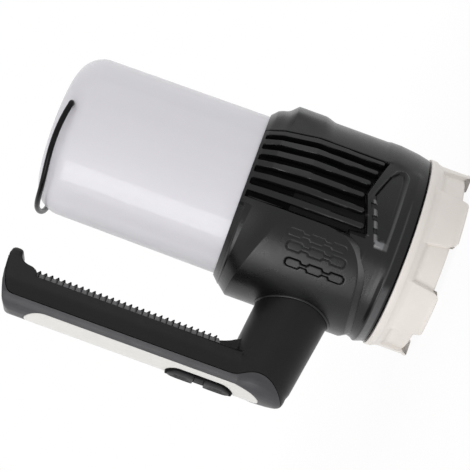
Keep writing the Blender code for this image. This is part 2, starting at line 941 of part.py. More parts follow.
def tab_recess(turn):
    """The space between two tabs: it is wider at the ring's front than at its back."""
    outer = ring_flange_radius + overrun
    inner = ring_mouth_radius - overrun
    sections = []
    for index in range(recess_columns + 1):
        share = 2.0 * index / recess_columns - 1.0
        front = turn + share * recess_front_turn / 2
        back = turn + share * recess_back_turn / 2
        sections.append([
            around(ring_recess_radius, back, ring_recess_back_z),
            around(outer, back, ring_recess_back_z),
            around(outer, front, -overrun),
            around(inner, front, -overrun),
            around(inner, front, ring_recess_front_z),
            around(ring_recess_radius, front, ring_recess_front_z),
        ])
    return loft("recess", sections, True)


def head_ring():
    profile = [
        (ring_flange_radius, ring_top_z),
        (ring_flange_front_radius, ring_flange_front_z),
        (ring_tab_radius, ring_recess_back_z + ring_edge),
        (ring_tab_radius, ring_edge),
        (ring_tab_radius - ring_edge, 0.0),
        (ring_mouth_radius, 0.0),
        (ring_mouth_radius, ring_lip_back_z),
        (ring_bore_radius, ring_lip_back_z),
        (ring_bore_radius, ring_top_z),
    ]
    body = turned("head_ring", profile)
    step = 360.0 / tab_count
    recesses = [tab_recess(tab_first_turn + step * (index + 0.5)) for index in range(tab_count)]
    combine(body, joined("recesses", recesses))
    return finish(body, material("ring_cream", (0.74, 0.68, 0.62), 0.38))


def front_lens():
    body = disc("front_lens", lens_radius, lens_front_z, lens_front_z + lens_thickness)
    return finish(body, material("lens_clear", (0.85, 0.88, 0.9), 0.08))


def lens_seal():
    body = ring("lens_seal", lens_radius, seal_bore_radius, seal_front_z, seal_front_z + seal_thickness, inner_steps)
    return finish(body, material("seal_rubber", (0.03, 0.03, 0.03), 0.7))


def reflector():
    neck_z = led_board_z - fit_gap
    mouth_z = flange_front_z + flange_thickness
    growth = (neck_z - mouth_z) / (reflector_mouth_radius ** 2 - reflector_neck_radius ** 2)
    span = reflector_mouth_radius - reflector_neck_radius
    radii = [reflector_neck_radius + span * index / reflector_rings for index in range(reflector_rings + 1)]
    inner = [(radius, neck_z - growth * (radius ** 2 - reflector_neck_radius ** 2)) for radius in radii]
    outer = [(radius + reflector_wall, height) for radius, height in inner]
    inner[-1] = (reflector_mouth_radius, flange_front_z)
    outer[-1] = (reflector_mouth_radius + reflector_wall, mouth_z)
    flange = [(lens_radius, mouth_z), (lens_radius, flange_front_z)]
    body = turned("reflector", outer + flange + inner[::-1], inner_steps)
    return finish(body, material("reflector_bright", (0.9, 0.9, 0.91), 0.12, 1.0))


def led_board():
    body = disc("led_board", led_board_radius, led_board_z, led_board_z + led_board_thickness, small_steps)
    return finish(body, material("board_white", (0.82, 0.83, 0.8), 0.45))


def led_emitter():
    top_z = led_board_z - fit_gap
    base_z = top_z - emitter_base
    body = box("led_emitter", (lamp_x - emitter_half_width, -emitter_half_width, base_z),
               (lamp_x + emitter_half_width, emitter_half_width, top_z))
    dome = [(0.0, base_z + emitter_base / 2), (emitter_dome_radius, base_z + emitter_base / 2)]
    dome += [(across, base_z + along) for across, along in arc(0.0, 0.0, emitter_dome_radius, 0.0, -90.0, 4)]
    dome[-1] = (0.0, base_z - emitter_dome_radius)
    combine(body, turned("emitter_dome", dome, screw_steps, False, True), "UNION")
    return finish(body, material("emitter_yellow", (0.85, 0.72, 0.2), 0.3))


def heat_sink():
    back_z = sink_front_z + sink_thickness
    profile = [(0.0, back_z), (sink_radius, back_z), (sink_radius, sink_front_z)]
    for share in reversed(sink_groove_shares):
        radius = sink_radius * share
        outer, inner = radius + sink_groove_width / 2, radius - sink_groove_width / 2
        floor_z = sink_front_z + sink_groove_depth
        profile += [(outer, sink_front_z), (outer, floor_z), (inner, floor_z), (inner, sink_front_z)]
    profile.append((0.0, sink_front_z))
    body = turned("heat_sink", profile, inner_steps, False)
    combine(body, screw_holes("sink_holes", sink_front_z, back_z))
    return finish(body, material("sink_aluminium", (0.6, 0.61, 0.62), 0.35, 1.0))


# The chassis, its cells and boards


def chassis():
    body = disc("chassis", chassis_radius, chassis_front_z, chassis_front_z + chassis_plate, inner_steps)
    rear_top = chassis_rear_z + chassis_plate
    combine(body, disc("rear_plate", chassis_rear_radius, chassis_rear_z, rear_top, inner_steps, True), "UNION")
    half, reach = chassis_web / 2, chassis_web_reach
    low_z, high_z = chassis_front_z + chassis_plate / 2, chassis_rear_z + chassis_plate / 2
    combine(body, box("web_along", (lamp_x - reach, -half, low_z), (lamp_x + reach, half, high_z), True), "UNION")
    combine(body, box("web_across", (lamp_x - half, -reach, low_z), (lamp_x + half, reach, high_z), True), "UNION")
    combine(body, screw_holes("chassis_holes", chassis_front_z, chassis_front_z + chassis_plate))
    return finish(body, material("chassis_grey", (0.12, 0.12, 0.13), 0.5))


def cells():
    skin = material("cell_sleeve", (0.05, 0.16, 0.3), 0.4)
    sides = ((1, 1), (1, -1), (-1, 1), (-1, -1))
    for index, (side_x, side_y) in enumerate(sides):
        shoulder_z = cell_back_z - cell_cap_height
        profile = [(0.0, cell_back_z), (cell_cap_radius, cell_back_z), (cell_cap_radius, shoulder_z),
                   (cell_radius, shoulder_z), (cell_radius, cell_front_z), (0.0, cell_front_z)]
        place = Matrix.Translation((lamp_x + side_x * cell_offset, side_y * cell_offset, 0.0))
        finish(turned(f"battery_{index + 1}", profile, small_steps, False, place=place), skin)


def boards():
    green = material("board_green", (0.03, 0.2, 0.09), 0.5)
    front_z = chassis_front_z + chassis_plate + fit_gap
    low = (lamp_x + control_board_x, -control_board_half_width, front_z)
    high = (lamp_x + control_board_x + board_thickness, control_board_half_width, front_z + control_board_length)
    finish(box("control_board", low, high), green)
    top_z = lantern_board_z + board_thickness
    finish(disc("lantern_board", lantern_board_radius, lantern_board_z, top_z, small_steps),
           material("lantern_board_white", (0.8, 0.81, 0.79), 0.45))
    yellow = material("lantern_led_yellow", (0.88, 0.76, 0.3), 0.3)
    for index in range(lantern_led_count):
        middle = around(lantern_led_circle, 360.0 * index / lantern_led_count, top_z + fit_gap)
        half = Vector((lantern_led_half_width, lantern_led_half_width, 0.0))
        rise = Vector((0.0, 0.0, lantern_led_height))
        finish(box(f"lantern_led_{index + 1}", middle - half, middle + half + rise), yellow)


def charge_port():
    start_x = lamp_x + control_board_x + board_thickness + fit_gap
    end_x = cover_place()[0] - cover_thickness - charge_port_cover_gap
    body = box("charge_port", (start_x, -charge_port_half_width, charge_port_z - charge_port_half_height),
               (end_x, charge_port_half_width, charge_port_z + charge_port_half_height))
    return finish(body, material("port_steel", (0.55, 0.55, 0.56), 0.3, 1.0))


def port_cover():
    flat_x, hinge_z = cover_place()
    radius = cover_thickness / 2
    pin_depth = lamp_x - flat_x + radius
    outline = arc(pin_depth, hinge_z, radius, 0.0, 180.0, 6)
    outline += [(pin_depth - radius, charge_port_z - cover_half_length),
                (pin_depth + radius, charge_port_z - cover_half_length)]
    body = plate("port_cover", [outline], 2 * cover_half_width, side_plane())
    return finish(body, material("cover_rubber", (0.03, 0.03, 0.032), 0.75))


def chassis_screws():
    steel = material("screw_steel", (0.5, 0.5, 0.52), 0.35, 1.0)
    head_top = sink_front_z - fit_gap
    end_z = chassis_front_z + chassis_plate
    for index, place in enumerate(screw_places()):
        profile = [(0.0, end_z), (chassis_screw_radius, end_z), (chassis_screw_radius, head_top),
                   (chassis_screw_head_radius, head_top),
                   (chassis_screw_head_radius, head_top - chassis_screw_head), (0.0, head_top - chassis_screw_head)]
        spot = Matrix.Translation(place)
        finish(turned(f"chassis_screw_{index + 1}", profile, screw_steps, False, place=spot), steel)


# The frosted tail and its bail


def diffuser():
    corner = diffuser_corner_radius
    centre_radius, centre_z = diffuser_tail_radius - corner, tail_z - corner
    outer = [(0.0, tail_z)] + arc(centre_radius, centre_z, corner, 90.0, 0.0, diffuser_corner_steps)
    outer.append((diffuser_base_radius, diffuser_front_z))
    inner = [(diffuser_base_radius - diffuser_wall, diffuser_front_z)]
    inner += arc(centre_radius, centre_z, corner - diffuser_wall, 0.0, 90.0, diffuser_corner_steps)
    inner.append((0.0, tail_z - diffuser_wall))
    body = turned("diffuser", outer + inner, turned_steps, False)
    reach = diffuser_base_radius + overrun
    across = aimed((lamp_x, -reach, bail_pivot_z), (lamp_x, reach, bail_pivot_z))
    hole = disc("pivot_holes", bail_wire_radius + bail_hole_gap, 0.0, 2 * reach, screw_steps, True, across)
    combine(body, hole)
    return finish(body, material("diffuser_frost", (0.66, 0.65, 0.69), 0.5))


def diffuser_seal():
    low_z = shoulder_back_z + fit_gap
    body = ring("diffuser_seal", diffuser_base_radius, shoulder_bore_radius, low_z, low_z + mouth_seal_thickness,
                inner_steps)
    return finish(body, material("diffuser_seal_rubber", (0.03, 0.03, 0.03), 0.7))


def bail():
    start = -bail_loop_radius + bail_bend
    points = [(lamp_x, -bail_pin_depth, bail_pivot_z), (lamp_x, start, bail_pivot_z)]
    loop = []
    for index in range(bail_points + 1):
        angle = math.pi * index / bail_points
        out = math.sin(angle)
        rise = (bail_plane_z - bail_pivot_z) * out + (bail_tab_z - bail_plane_z) * out ** bail_tab_power
        loop.append((lamp_x - bail_bend - (bail_loop_radius - bail_bend) * out, -bail_loop_radius * math.cos(angle),
                     bail_pivot_z + rise))
    bend_share = 1.0 - math.sqrt(0.5)
    corner = (lamp_x - bail_bend * bend_share, -bail_loop_radius + bail_bend * bend_share, bail_pivot_z)
    points += [corner] + loop
    points += [(x, -y, z) for x, y, z in (corner, points[1], points[0])]
    return finish(wire("bail", points, bail_wire_radius), material("bail_black", (0.015, 0.015, 0.016), 0.22))


# The grip, its post and cover


def grip_section():
    """The grip's section across its length: half as (depth, half width) points, then its mirror."""
    crown = crown_radius()
    half = [
        (tip_depth, tip_half_width),
        (tip_shoulder_depth, tip_shoulder_half_width),
        (grip_inner_depth, grip_inner_half_width),
        (grip_round_depth, grip_half_width),
        (grip_side_depth, grip_half_width),
    ]
    end = math.degrees(math.asin(grip_band_half_width / crown))
    half += [(grip_crown_depth - crown + along, across)
             for across, along in arc(0.0, 0.0, crown, 90.0 - end, 90.0, crown_steps)]
    return half + [(depth, -across) for depth, across in reversed(half[:-1])]


def crown_radius():
    rise = grip_crown_depth - grip_band_depth
    return (grip_band_half_width ** 2 + rise ** 2) / (2 * rise)


def crown_centre():
    return lamp_x - grip_crown_depth + crown_radius()


def grip_outline():
    """The grip's side outline, as (depth, height) points, from the post's front round to the tip."""
    far = grip_crown_depth + overrun
    fillet = arc(grip_inner_depth - fork_fillet, grip_tail_z - tip_root - fork_fillet, fork_fillet, 0.0, fork_turn,
                 fork_steps)
    outline = [(grip_inner_depth, post_end_z), (far, post_end_z)]
    outline += [(far, tail_low_z), (grip_crown_depth, tail_low_z), (tail_mid_depth, tail_mid_z)]
    outline += [(grip_side_depth, tail_side_z), (grip_round_depth, grip_tail_z), (tip_depth + tip_edge, grip_tail_z)]
    outline += [(tip_depth, grip_tail_z - tip_edge), (tip_depth, grip_tail_z - tip_thickness + tip_edge)]
    outline += [(tip_depth + tip_edge, grip_tail_z - tip_thickness)]
    return outline + fillet[::-1]


def grip_body(name, as_cutter=False):
    section_rows = ((-1.0, 0.0, 0.0, lamp_x), (0.0, -1.0, 0.0, 0.0), (0.0, 0.0, 1.0, 0.0), (0.0, 0.0, 0.0, 1.0))
    middle_z = (post_end_z + grip_tail_z) / 2
    place = Matrix.Translation((0.0, 0.0, middle_z)) @ Matrix(section_rows)
    body = plate(name, [grip_section()], grip_tail_z - post_end_z, place, as_cutter)
    outline = plate(name + "_outline", [grip_outline()], 4 * grip_half_width, side_plane(), True)
    combine(body, outline, "INTERSECT")
    combine(body, post_cone(name + "_post", 0.0, 0.0, 1.0, True), "UNION")
    drop = grip_crown_depth - grip_band_depth
    toe = [(0.0, grip_crown_depth), (toe_radius / 2, grip_crown_depth - drop / 4),
           (toe_radius - drop, grip_band_depth), (toe_radius, grip_side_depth), (toe_radius, toe_root_depth),
           (0.0, toe_root_depth)]
    toe = [(radius, depth - toe_drop) for radius, depth in toe]
    combine(body, turned(name + "_toe", toe, turned_steps, False, True, toward_grip(toe_z)), "UNION")
    return body


def outer_region(name, shift):
    """What lies outward of the seam between grip and cover, moved outward by shift."""
    far = grip_crown_depth + overrun
    seam = [(grip_side_depth, grip_tail_z + overrun)]
    for index in range(seam_steps + 1):
        share = index / seam_steps
        lift = seam_rise * math.sin(math.pi / 2 * share) ** 2
        seam.append((grip_side_depth - lift, seam_rise_z + (post_end_z - seam_rise_z) * share))
    top = grip_side_depth - seam_rise
    for index in range(1, seam_steps + 1):
        share = index / seam_steps
        seam.append((top + (seam_front_depth - top) * share ** 2, post_end_z + (seam_front_z - post_end_z) * share))
    seam.append((seam_front_depth, seam_front_z - 2 * toe_radius))
    outline = [(depth + shift, height) for depth, height in seam]
    outline += [(far, seam[-1][1]), (far, seam[0][1])]
    return plate(name, [outline], 4 * grip_half_width, side_plane(), True)


def boss_places():
    return [capsule_middle_z, capsule_middle_z + switch_board_half_length - switch_boss_radius]


def grip_shell():
    body = grip_body("grip_shell")
    combine(body, outer_region("cover_space", 0.0))
    cavity = box("grip_cavity",
                 (lamp_x - grip_crown_depth, -cavity_half_width, cavity_front_z),
                 (lamp_x - cavity_floor_depth, cavity_half_width, cavity_back_z), True)
    combine(body, cavity)
    combine(body, post_cone("post_bore", -post_wall, post_hole_start_share, post_bore_end_share, True))
    board_bottom = switch_board_depth - fit_gap
    for index, height in enumerate(boss_places()):
        boss = disc(f"board_boss_{index}", switch_boss_radius, cavity_floor_depth - post_wall / 2, board_bottom,
                    screw_steps, True, toward_grip(height))
        combine(body, boss, "UNION", "MANIFOLD")
    for index, height in enumerate(grip_screw_heights):
        boss = disc(f"screw_boss_{index}", screw_boss_radius, cavity_floor_depth - post_wall / 2,
                    cover_pocket_depth - fit_gap, screw_steps, True, toward_grip(height))
        combine(body, boss, "UNION", "MANIFOLD")
        pilot = disc(f"screw_pilot_{index}", grip_screw_radius + fit_gap, grip_screw_end_depth - fit_gap,
                     grip_crown_depth, screw_steps, True, toward_grip(height))
        combine(body, pilot, solver="MANIFOLD")
    return finish(body, material("grip_black", (0.024, 0.024, 0.026), 0.45))


def strip_space(name, grow, sink):
    """The curved bed of the strip: its outline grown all round, down to sink below the crown."""
    outline = capsule(strip_half_width + grow, strip_front_z - grow, strip_back_z + grow)
    far = grip_crown_depth + overrun
    low = grip_side_depth
    body = plate(name, [outline], far - low, facing_grip((far + low) / 2), True)
    core = disc(name + "_core", crown_radius() - sink, strip_front_z - overrun * 2, strip_back_z + overrun * 2,
                turned_steps, True, Matrix.Translation((crown_centre(), 0.0, 0.0)))
    return combine(body, core)


def capsule_cutter(name, grow):
    outline = capsule(capsule_half_width + grow, capsule_front_z - grow, capsule_back_z + grow)
    return plate(name, [outline], 4 * overrun, facing_grip(grip_crown_depth), True)


def grip_spine():
    body = grip_body("grip_spine")
    combine(body, outer_region("cover_limit", fit_gap), "INTERSECT", "MANIFOLD")
    pocket = box("cover_pocket",
                 (lamp_x - cover_pocket_depth, -cover_pocket_half_width, cover_pocket_front_z),
                 (lamp_x - grip_inner_depth, cover_pocket_half_width, cover_pocket_back_z), True)
    combine(body, pocket, solver="MANIFOLD")
    combine(body, strip_space("strip_bed", fit_gap, strip_thickness + fit_gap), solver="MANIFOLD")
    combine(body, capsule_cutter("frame_hole", fit_gap), solver="MANIFOLD")
    for index, height in enumerate(grip_screw_heights):
        hole = disc(f"cover_hole_{index}", grip_screw_radius + fit_gap, grip_inner_depth, grip_crown_depth,
                    screw_steps, True, toward_grip(height))
        head = disc(f"head_bed_{index}", grip_screw_head_radius + fit_gap, screw_head_depth() - fit_gap,
                    grip_crown_depth, screw_steps, True, toward_grip(height))
        combine(body, hole, solver="MANIFOLD")
        combine(body, head, solver="MANIFOLD")
    return finish(body, material("spine_grey", (0.1, 0.098, 0.106), 0.42))


def screw_head_depth():
    return grip_crown_depth - strip_thickness - 2 * fit_gap - grip_screw_head


def grip_screws():
    steel = material("grip_screw_steel", (0.45, 0.45, 0.47), 0.35, 1.0)
    top = screw_head_depth() + grip_screw_head
    names = ("grip_screw_front", "grip_screw_rear")
    for name, height in zip(names, grip_screw_heights):
        profile = [(0.0, top), (grip_screw_head_radius, top), (grip_screw_head_radius, screw_head_depth()),
                   (grip_screw_radius, screw_head_depth()), (grip_screw_radius, grip_screw_end_depth),
                   (0.0, grip_screw_end_depth)]
        finish(turned(name, profile, screw_steps, False, place=toward_grip(height)), steel)


def grip_panel():
    outline = capsule(strip_half_width, strip_front_z, strip_back_z)
    far = grip_crown_depth + overrun
    low = grip_side_depth
    body = plate("grip_panel", [outline], far - low, facing_grip((far + low) / 2))
    skin = ring("strip_skin", crown_radius(), crown_radius() - strip_thickness, strip_front_z - overrun,
                strip_back_z + overrun, turned_steps, True, Matrix.Translation((crown_centre(), 0.0, 0.0)))
    combine(body, skin, "INTERSECT")
    combine(body, capsule_cutter("strip_hole", fit_gap))
    return finish(body, material("panel_white", (0.81, 0.8, 0.78), 0.35))


def button_outline(side, grow):
    """A button's outline: straight toward its neighbour and round at the capsule's end."""
    half_width = capsule_half_width - capsule_wall - fit_gap + grow
    end = (capsule_back_z - capsule_front_z) / 2 - capsule_wall - fit_gap + grow
    start = (capsule_back_z - capsule_front_z) / 2 - capsule_wall - fit_gap - button_length - grow
    round_end = arc(0.0, end - half_width, half_width, 0.0, 180.0, 8)
    points = [(half_width, start)] + round_end + [(-half_width, start)]
    return [(across, capsule_middle_z + side * along) for across, along in points]


def crown_limit(name, rise):
    reach = overrun * 2
    return disc(name, crown_radius() + rise, capsule_front_z - reach, capsule_back_z + reach, turned_steps, True,
                Matrix.Translation((crown_centre(), 0.0, 0.0)))


def button_frame():
    outline = capsule(capsule_half_width, capsule_front_z, capsule_back_z)
    middle = (capsule_floor_depth + grip_crown_depth + frame_rise) / 2
    thickness = grip_crown_depth + frame_rise - capsule_floor_depth
    body = plate("button_frame", [outline], thickness, facing_grip(middle))
    combine(body, crown_limit("frame_crown", frame_rise), "INTERSECT")
    for side in (-1, 1):
        opening = plate(f"button_opening_{side + 1}", [button_outline(side, fit_gap)], 4 * overrun,
                        facing_grip(grip_crown_depth), True)
        combine(body, opening)
    return finish(body, material("frame_black", (0.03, 0.03, 0.032), 0.5))


def buttons():
    rubber = material("button_rubber", (0.055, 0.055, 0.06), 0.55)
    for name, side in (("button_front", -1), ("button_rear", 1)):
        outline = button_outline(side, 0.0)
        length = button_reach - button_foot_depth
        body = plate(name, [outline], length, facing_grip(button_foot_depth + length / 2))
        combine(body, crown_limit(name + "_crown", button_reach - grip_crown_depth), "INTERSECT")
        flange_top = capsule_floor_depth - fit_gap
        flange = plate(name + "_flange", [button_outline(side, button_flange)], button_flange_thickness,
                       facing_grip(flange_top - button_flange_thickness / 2), True)
        combine(body, flange, "UNION")
        stem = disc(name + "_stem", button_stem_radius, button_stem_depth, button_foot_depth + fit_gap,
                    screw_steps, True, toward_grip(button_middle(side)))
        combine(body, stem, "UNION")
        finish(body, rubber)


def button_middle(side):
    far = (capsule_back_z - capsule_front_z) / 2 - capsule_wall - fit_gap
    return capsule_middle_z + side * (far - button_length / 2)


def switches():
    low, high = switch_board_depth, switch_board_depth + board_thickness
    low_z, high_z = capsule_middle_z - switch_board_half_length, capsule_middle_z + switch_board_half_length
    board = box("switch_board", (lamp_x - high, -switch_board_half_width, low_z),
                (lamp_x - low, switch_board_half_width, high_z))
    finish(board, material("switch_board_green", (0.03, 0.2, 0.09), 0.5))
    dark = material("switch_black", (0.04, 0.04, 0.04), 0.4)
    for name, side in (("switch_front", -1), ("switch_rear", 1)):
        height = button_middle(side)
        body = box(name, (lamp_x - high - fit_gap - switch_base, -switch_half_width, height - switch_half_width),
                   (lamp_x - high - fit_gap, switch_half_width, height + switch_half_width))
        plunger = disc(name + "_plunger", switch_plunger_radius, high + fit_gap + switch_base / 2, switch_top_depth,
                       screw_steps, True, toward_grip(height))
        finish(combine(body, plunger, "UNION"), dark)


def switch_lead():
    plate_z = chassis_front_z + chassis_plate + fit_gap
    start_depth = switch_board_depth - fit_gap
    route = [(start_depth, lead_board_height)]
    for across, up in lead_route_shares:
        depth = lead_plate_depth + (start_depth - lead_plate_depth) * across
        route.append((depth, plate_z + (lead_board_height - plate_z) * up))
    route.append((lead_plate_depth, plate_z))
    points = [(lamp_x - depth, 0.0, height) for depth, height in route]
    body = wire("switch_lead", points, lead_radius)
    return finish(body, material("lead_grey", (0.08, 0.08, 0.09), 0.5))


def finger_pad():
    """The ridged pad: a strip whose outer side rises in slanted teeth."""
    foot = grip_inner_depth - fit_gap
    base = foot - finger_base
    tip = base - finger_tooth
    outline = [(foot, finger_front_z - finger_ramp), (base, finger_front_z - finger_round)]
    for index in range(finger_teeth):
        start = finger_front_z + finger_pitch * index
        outline += [(base, start), (tip, start + finger_pitch * tooth_lead_share),
                    (tip, start + finger_pitch * tooth_top_share), (base, start + finger_pitch * tooth_foot_share)]
    end = finger_front_z + finger_pitch * finger_teeth
    outline += [(base, end), (foot, end + finger_ramp)]
    body = plate("finger_pad", [outline], 2 * finger_half_width, side_plane())
    return finish(body, material("pad_rubber", (0.03, 0.03, 0.032), 0.6))


def build():
    clear_scene()
    housing()
    head_ring()
    front_lens()
    lens_seal()
    reflector()
    led_board()
    led_emitter()
    heat_sink()
    chassis()
    cells()
    boards()
    charge_port()
    port_cover()
    chassis_screws()
    diffuser()
    diffuser_seal()
    bail()
    grip_shell()
    grip_spine()
    grip_screws()
    grip_panel()
    button_frame()
    buttons()
    switches()
    switch_lead()
    finger_pad()


build()
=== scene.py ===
import math

import bmesh
import bpy
import numpy as np
from mathutils import Matrix, Vector


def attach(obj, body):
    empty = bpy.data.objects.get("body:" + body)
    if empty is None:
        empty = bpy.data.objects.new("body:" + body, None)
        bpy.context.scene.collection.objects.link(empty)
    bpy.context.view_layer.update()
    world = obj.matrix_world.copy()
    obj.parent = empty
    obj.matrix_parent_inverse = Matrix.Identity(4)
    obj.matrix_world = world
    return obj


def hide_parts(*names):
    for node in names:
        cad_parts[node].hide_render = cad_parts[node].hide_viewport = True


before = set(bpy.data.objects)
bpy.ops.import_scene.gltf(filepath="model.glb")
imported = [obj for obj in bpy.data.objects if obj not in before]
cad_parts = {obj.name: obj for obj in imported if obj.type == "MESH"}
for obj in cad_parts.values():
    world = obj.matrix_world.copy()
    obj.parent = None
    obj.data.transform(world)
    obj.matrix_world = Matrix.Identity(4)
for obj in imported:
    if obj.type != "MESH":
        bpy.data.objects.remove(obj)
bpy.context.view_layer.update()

mm = 0.001
lampX = 25.9  # the lamp's axis stands this far from the frame's middle, away from the grip
scene = bpy.context.scene

# Distances below are in mm. Depth runs from the lamp's axis toward the grip, and a turn is an angle
# round the axis in degrees, from the grip's direction toward the camera's side.


def around(radius, turn, z):
    angle = np.radians(turn)
    return np.stack(np.broadcast_arrays(lampX - radius * np.cos(angle), -radius * np.sin(angle), z), -1)


def ramp(value, low, high):
    share = np.clip((value - low) / (high - low), 0.0, 1.0)
    return share * share * (3.0 - 2.0 * share)


def band(value, start, full, fade, end):
    # 0 outside start and end, 1 between full and fade
    return ramp(value, start, full) * (1.0 - ramp(value, fade, end))


def bell(value, middle, width):
    return np.exp(-((value - middle) / width) ** 2)


def along(value, points):
    return np.interp(value, *np.array(points, dtype=float).T)


def softMin(first, second, blend):
    share = np.clip(0.5 + 0.5 * (second - first) / blend, 0.0, 1.0)
    return second + (first - second) * share - blend * share * (1.0 - share)


def softMax(first, second, blend):
    return -softMin(-first, -second, blend)


def spaced(low, high, step):
    return list(np.linspace(low, high, max(2, int(round((high - low) / step)) + 1)))


def arc(centreA, centreB, radius, start, end, steps):
    turns = np.radians(np.linspace(start, end, steps + 1))
    return [(centreA + radius * math.cos(turn), centreB + radius * math.sin(turn)) for turn in turns]


def mirrored(columns):
    # the same columns on the far side, in reverse order
    return columns[:, ::-1] * np.array((1.0, -1.0, 1.0))


# Meshes


def gridMesh(name, points, closeRows=False, closeColumns=False, flip=False):
    # points: rows by columns by 3, in mm
    rows, columns = points.shape[:2]
    index = np.arange(rows * columns).reshape(rows, columns)
    if closeRows:
        index = np.vstack([index, index[:1]])
    if closeColumns:
        index = np.hstack([index, index[:, :1]])
    quads = np.stack([index[:-1, :-1], index[:-1, 1:], index[1:, 1:], index[1:, :-1]], -1).reshape(-1, 4)
    if flip:
        quads = quads[:, ::-1]
    mesh = bpy.data.meshes.new(name)
    mesh.from_pydata((points.reshape(-1, 3) * mm).tolist(), [], quads.tolist())
    mesh.update()
    return mesh


def welded(mesh, distance=0.002):
    body = bmesh.new()
    body.from_mesh(mesh)
    bmesh.ops.remove_doubles(body, verts=body.verts, dist=distance * mm)
    bmesh.ops.dissolve_degenerate(body, edges=body.edges, dist=distance * mm)
    bmesh.ops.recalc_face_normals(body, faces=body.faces)
    body.to_mesh(mesh)
    body.free()
    return mesh


def filled(mesh):
    # closes every open edge loop and turns all faces outward
    body = bmesh.new()
    body.from_mesh(mesh)
    bmesh.ops.holes_fill(body, edges=[edge for edge in body.edges if edge.is_boundary], sides=0)
    bmesh.ops.recalc_face_normals(body, faces=body.faces)
    body.to_mesh(mesh)
    body.free()
    return mesh


def stacked(name, rings):
    return filled(gridMesh(name, np.array(rings), closeColumns=True))


def turnedMesh(name, profile, steps=128, place=None):
    # profile: (radius, height) points
    turns = np.linspace(0.0, 2.0 * math.pi, steps, endpoint=False)
    radii, heights = np.array(profile, dtype=float).T[:, :, None]
    points = np.stack(np.broadcast_arrays(radii * np.cos(turns), radii * np.sin(turns), heights), -1)
    mesh = gridMesh(name, points, closeColumns=True, closeRows=profile[0][0] > 0)
    mesh.transform(place if place is not None else Matrix.Translation((lampX * mm, 0.0, 0.0)))
    return welded(mesh)


def looseObject(name, mesh):
    made = bpy.data.objects.new(name, mesh)
    scene.collection.objects.link(made)
    return made


def finished(item, tools=()):
    # the mesh that a curve or a modified object comes to; the object and its tools are then removed
    bpy.context.view_layer.update()
    mesh = bpy.data.meshes.new_from_object(item.evaluated_get(bpy.context.evaluated_depsgraph_get()))
    for used in (item, *tools):
        bpy.data.objects.remove(used)
    return mesh


def polyline(curve, points, closed):
    spline = curve.splines.new("POLY")
    spline.points.add(len(points) - 1)
    for target, point in zip(spline.points, points):
        target.co = (*point, 1.0)
    spline.use_cyclic_u = closed


def flatPlate(name, outline, thickness, place):
    # the outline lies in the local XY plane, with half the thickness to each side
    curve = bpy.data.curves.new(name, "CURVE")
    curve.dimensions = "2D"
    curve.fill_mode = "BOTH"
    curve.extrude = thickness * mm / 2
    polyline(curve, [(across * mm, up * mm, 0.0) for across, up in outline], True)
    mesh = finished(looseObject(name + "Guide", curve))
    mesh.transform(place)
    return welded(mesh)


def shaped(name, mesh, modifiers):
    # modifiers: a list of (kind, settings)
    worker = looseObject(name + "Worker", mesh)
    tools = []
    for kind, settings in modifiers:
        modifier = worker.modifiers.new(kind, kind)
        for key, value in settings.items():
            if key == "tool":
                tools.append(looseObject(name + "Tool", value))
                modifier.object = tools[-1]
            else:
                setattr(modifier, key, value)
    result = finished(worker, tools)
    result.name = name
    return result


def cutBy(tool, solver="EXACT"):
    return ("BOOLEAN", dict(operation="DIFFERENCE", solver=solver, tool=tool))


def keptInside(tool, solver="EXACT"):
    return ("BOOLEAN", dict(operation="INTERSECT", solver=solver, tool=tool))


def fused(name, meshes, voxel, rounds):
    # overlapping bodies moulded into one, with soft edges
    body = bmesh.new()
    for mesh in meshes:
        body.from_mesh(mesh)
    whole = bpy.data.meshes.new(name)
    body.to_mesh(whole)
    body.free()
    steps = [("REMESH", dict(mode="VOXEL", voxel_size=voxel * mm, adaptivity=0.0)),
             ("SMOOTH", dict(factor=0.5, iterations=rounds))]
    return shaped(name, whole, steps)


def tubeMesh(name, points, radius, closed=False):
    curve = bpy.data.curves.new(name, "CURVE")
    curve.dimensions = "3D"
    curve.bevel_depth = radius * mm
    curve.bevel_resolution = 5
    curve.use_fill_caps = not closed
    polyline(curve, points, closed)
    return finished(looseObject(name + "Guide", curve))


def addPiece(name, mesh, skin, body, stands=(), crease=None):
    # crease: the angle in degrees from which an edge stays sharp
    piece = looseObject(name, mesh)
    mesh.materials.clear()
    mesh.materials.append(skins[skin])
    mesh.shade_smooth()
    if crease:
        mesh.set_sharp_from_angle(angle=math.radians(crease))
    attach(piece, body)
    if stands:
        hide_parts(*stands)


def setPaintedHighlight(mesh, values):
    # painted highlights: vertex values that lighten the colour where light catches the surface
    mesh.attributes.new("paintedHighlight", "FLOAT", "POINT").data.foreach_set("value", values)


def paintHighlights(mesh, share):
    # painted highlights: share gives their values from radius, turn and height
    place = np.empty(len(mesh.vertices) * 3, dtype=np.float32)
    mesh.vertices.foreach_get("co", place)
    x, y, z = (place.reshape(-1, 3) / mm).T
    values = share(np.hypot(x - lampX, y), np.degrees(np.arctan2(np.abs(y), lampX - x)), z)
    setPaintedHighlight(mesh, values.astype(np.float32))


def spots(mesh):
    # each face with the radius, turn and height of its middle
    for face in mesh.polygons:
        x, y, z = face.center / mm
        yield face, math.hypot(x - lampX, y), math.degrees(math.atan2(abs(y), lampX - x)), z


def sidePlane():
    # across is depth, up is +Z, and thickness lies on Y
    return Matrix(((-1, 0, 0, lampX * mm), (0, 0, 1, 0), (0, 1, 0, 0), (0, 0, 0, 1)))


def gripPlane(depth):
    # across is +Y, up is +Z, and thickness lies on X
    return Matrix(((0, 0, 1, (lampX - depth) * mm), (1, 0, 0, 0), (0, 1, 0, 0), (0, 0, 0, 1)))


def capsuleOutline(halfWidth, front, back, steps=24):
    lower = arc(0.0, front + halfWidth, halfWidth, 180.0, 360.0, steps)
    return lower + arc(0.0, back - halfWidth, halfWidth, 0.0, 180.0, steps)
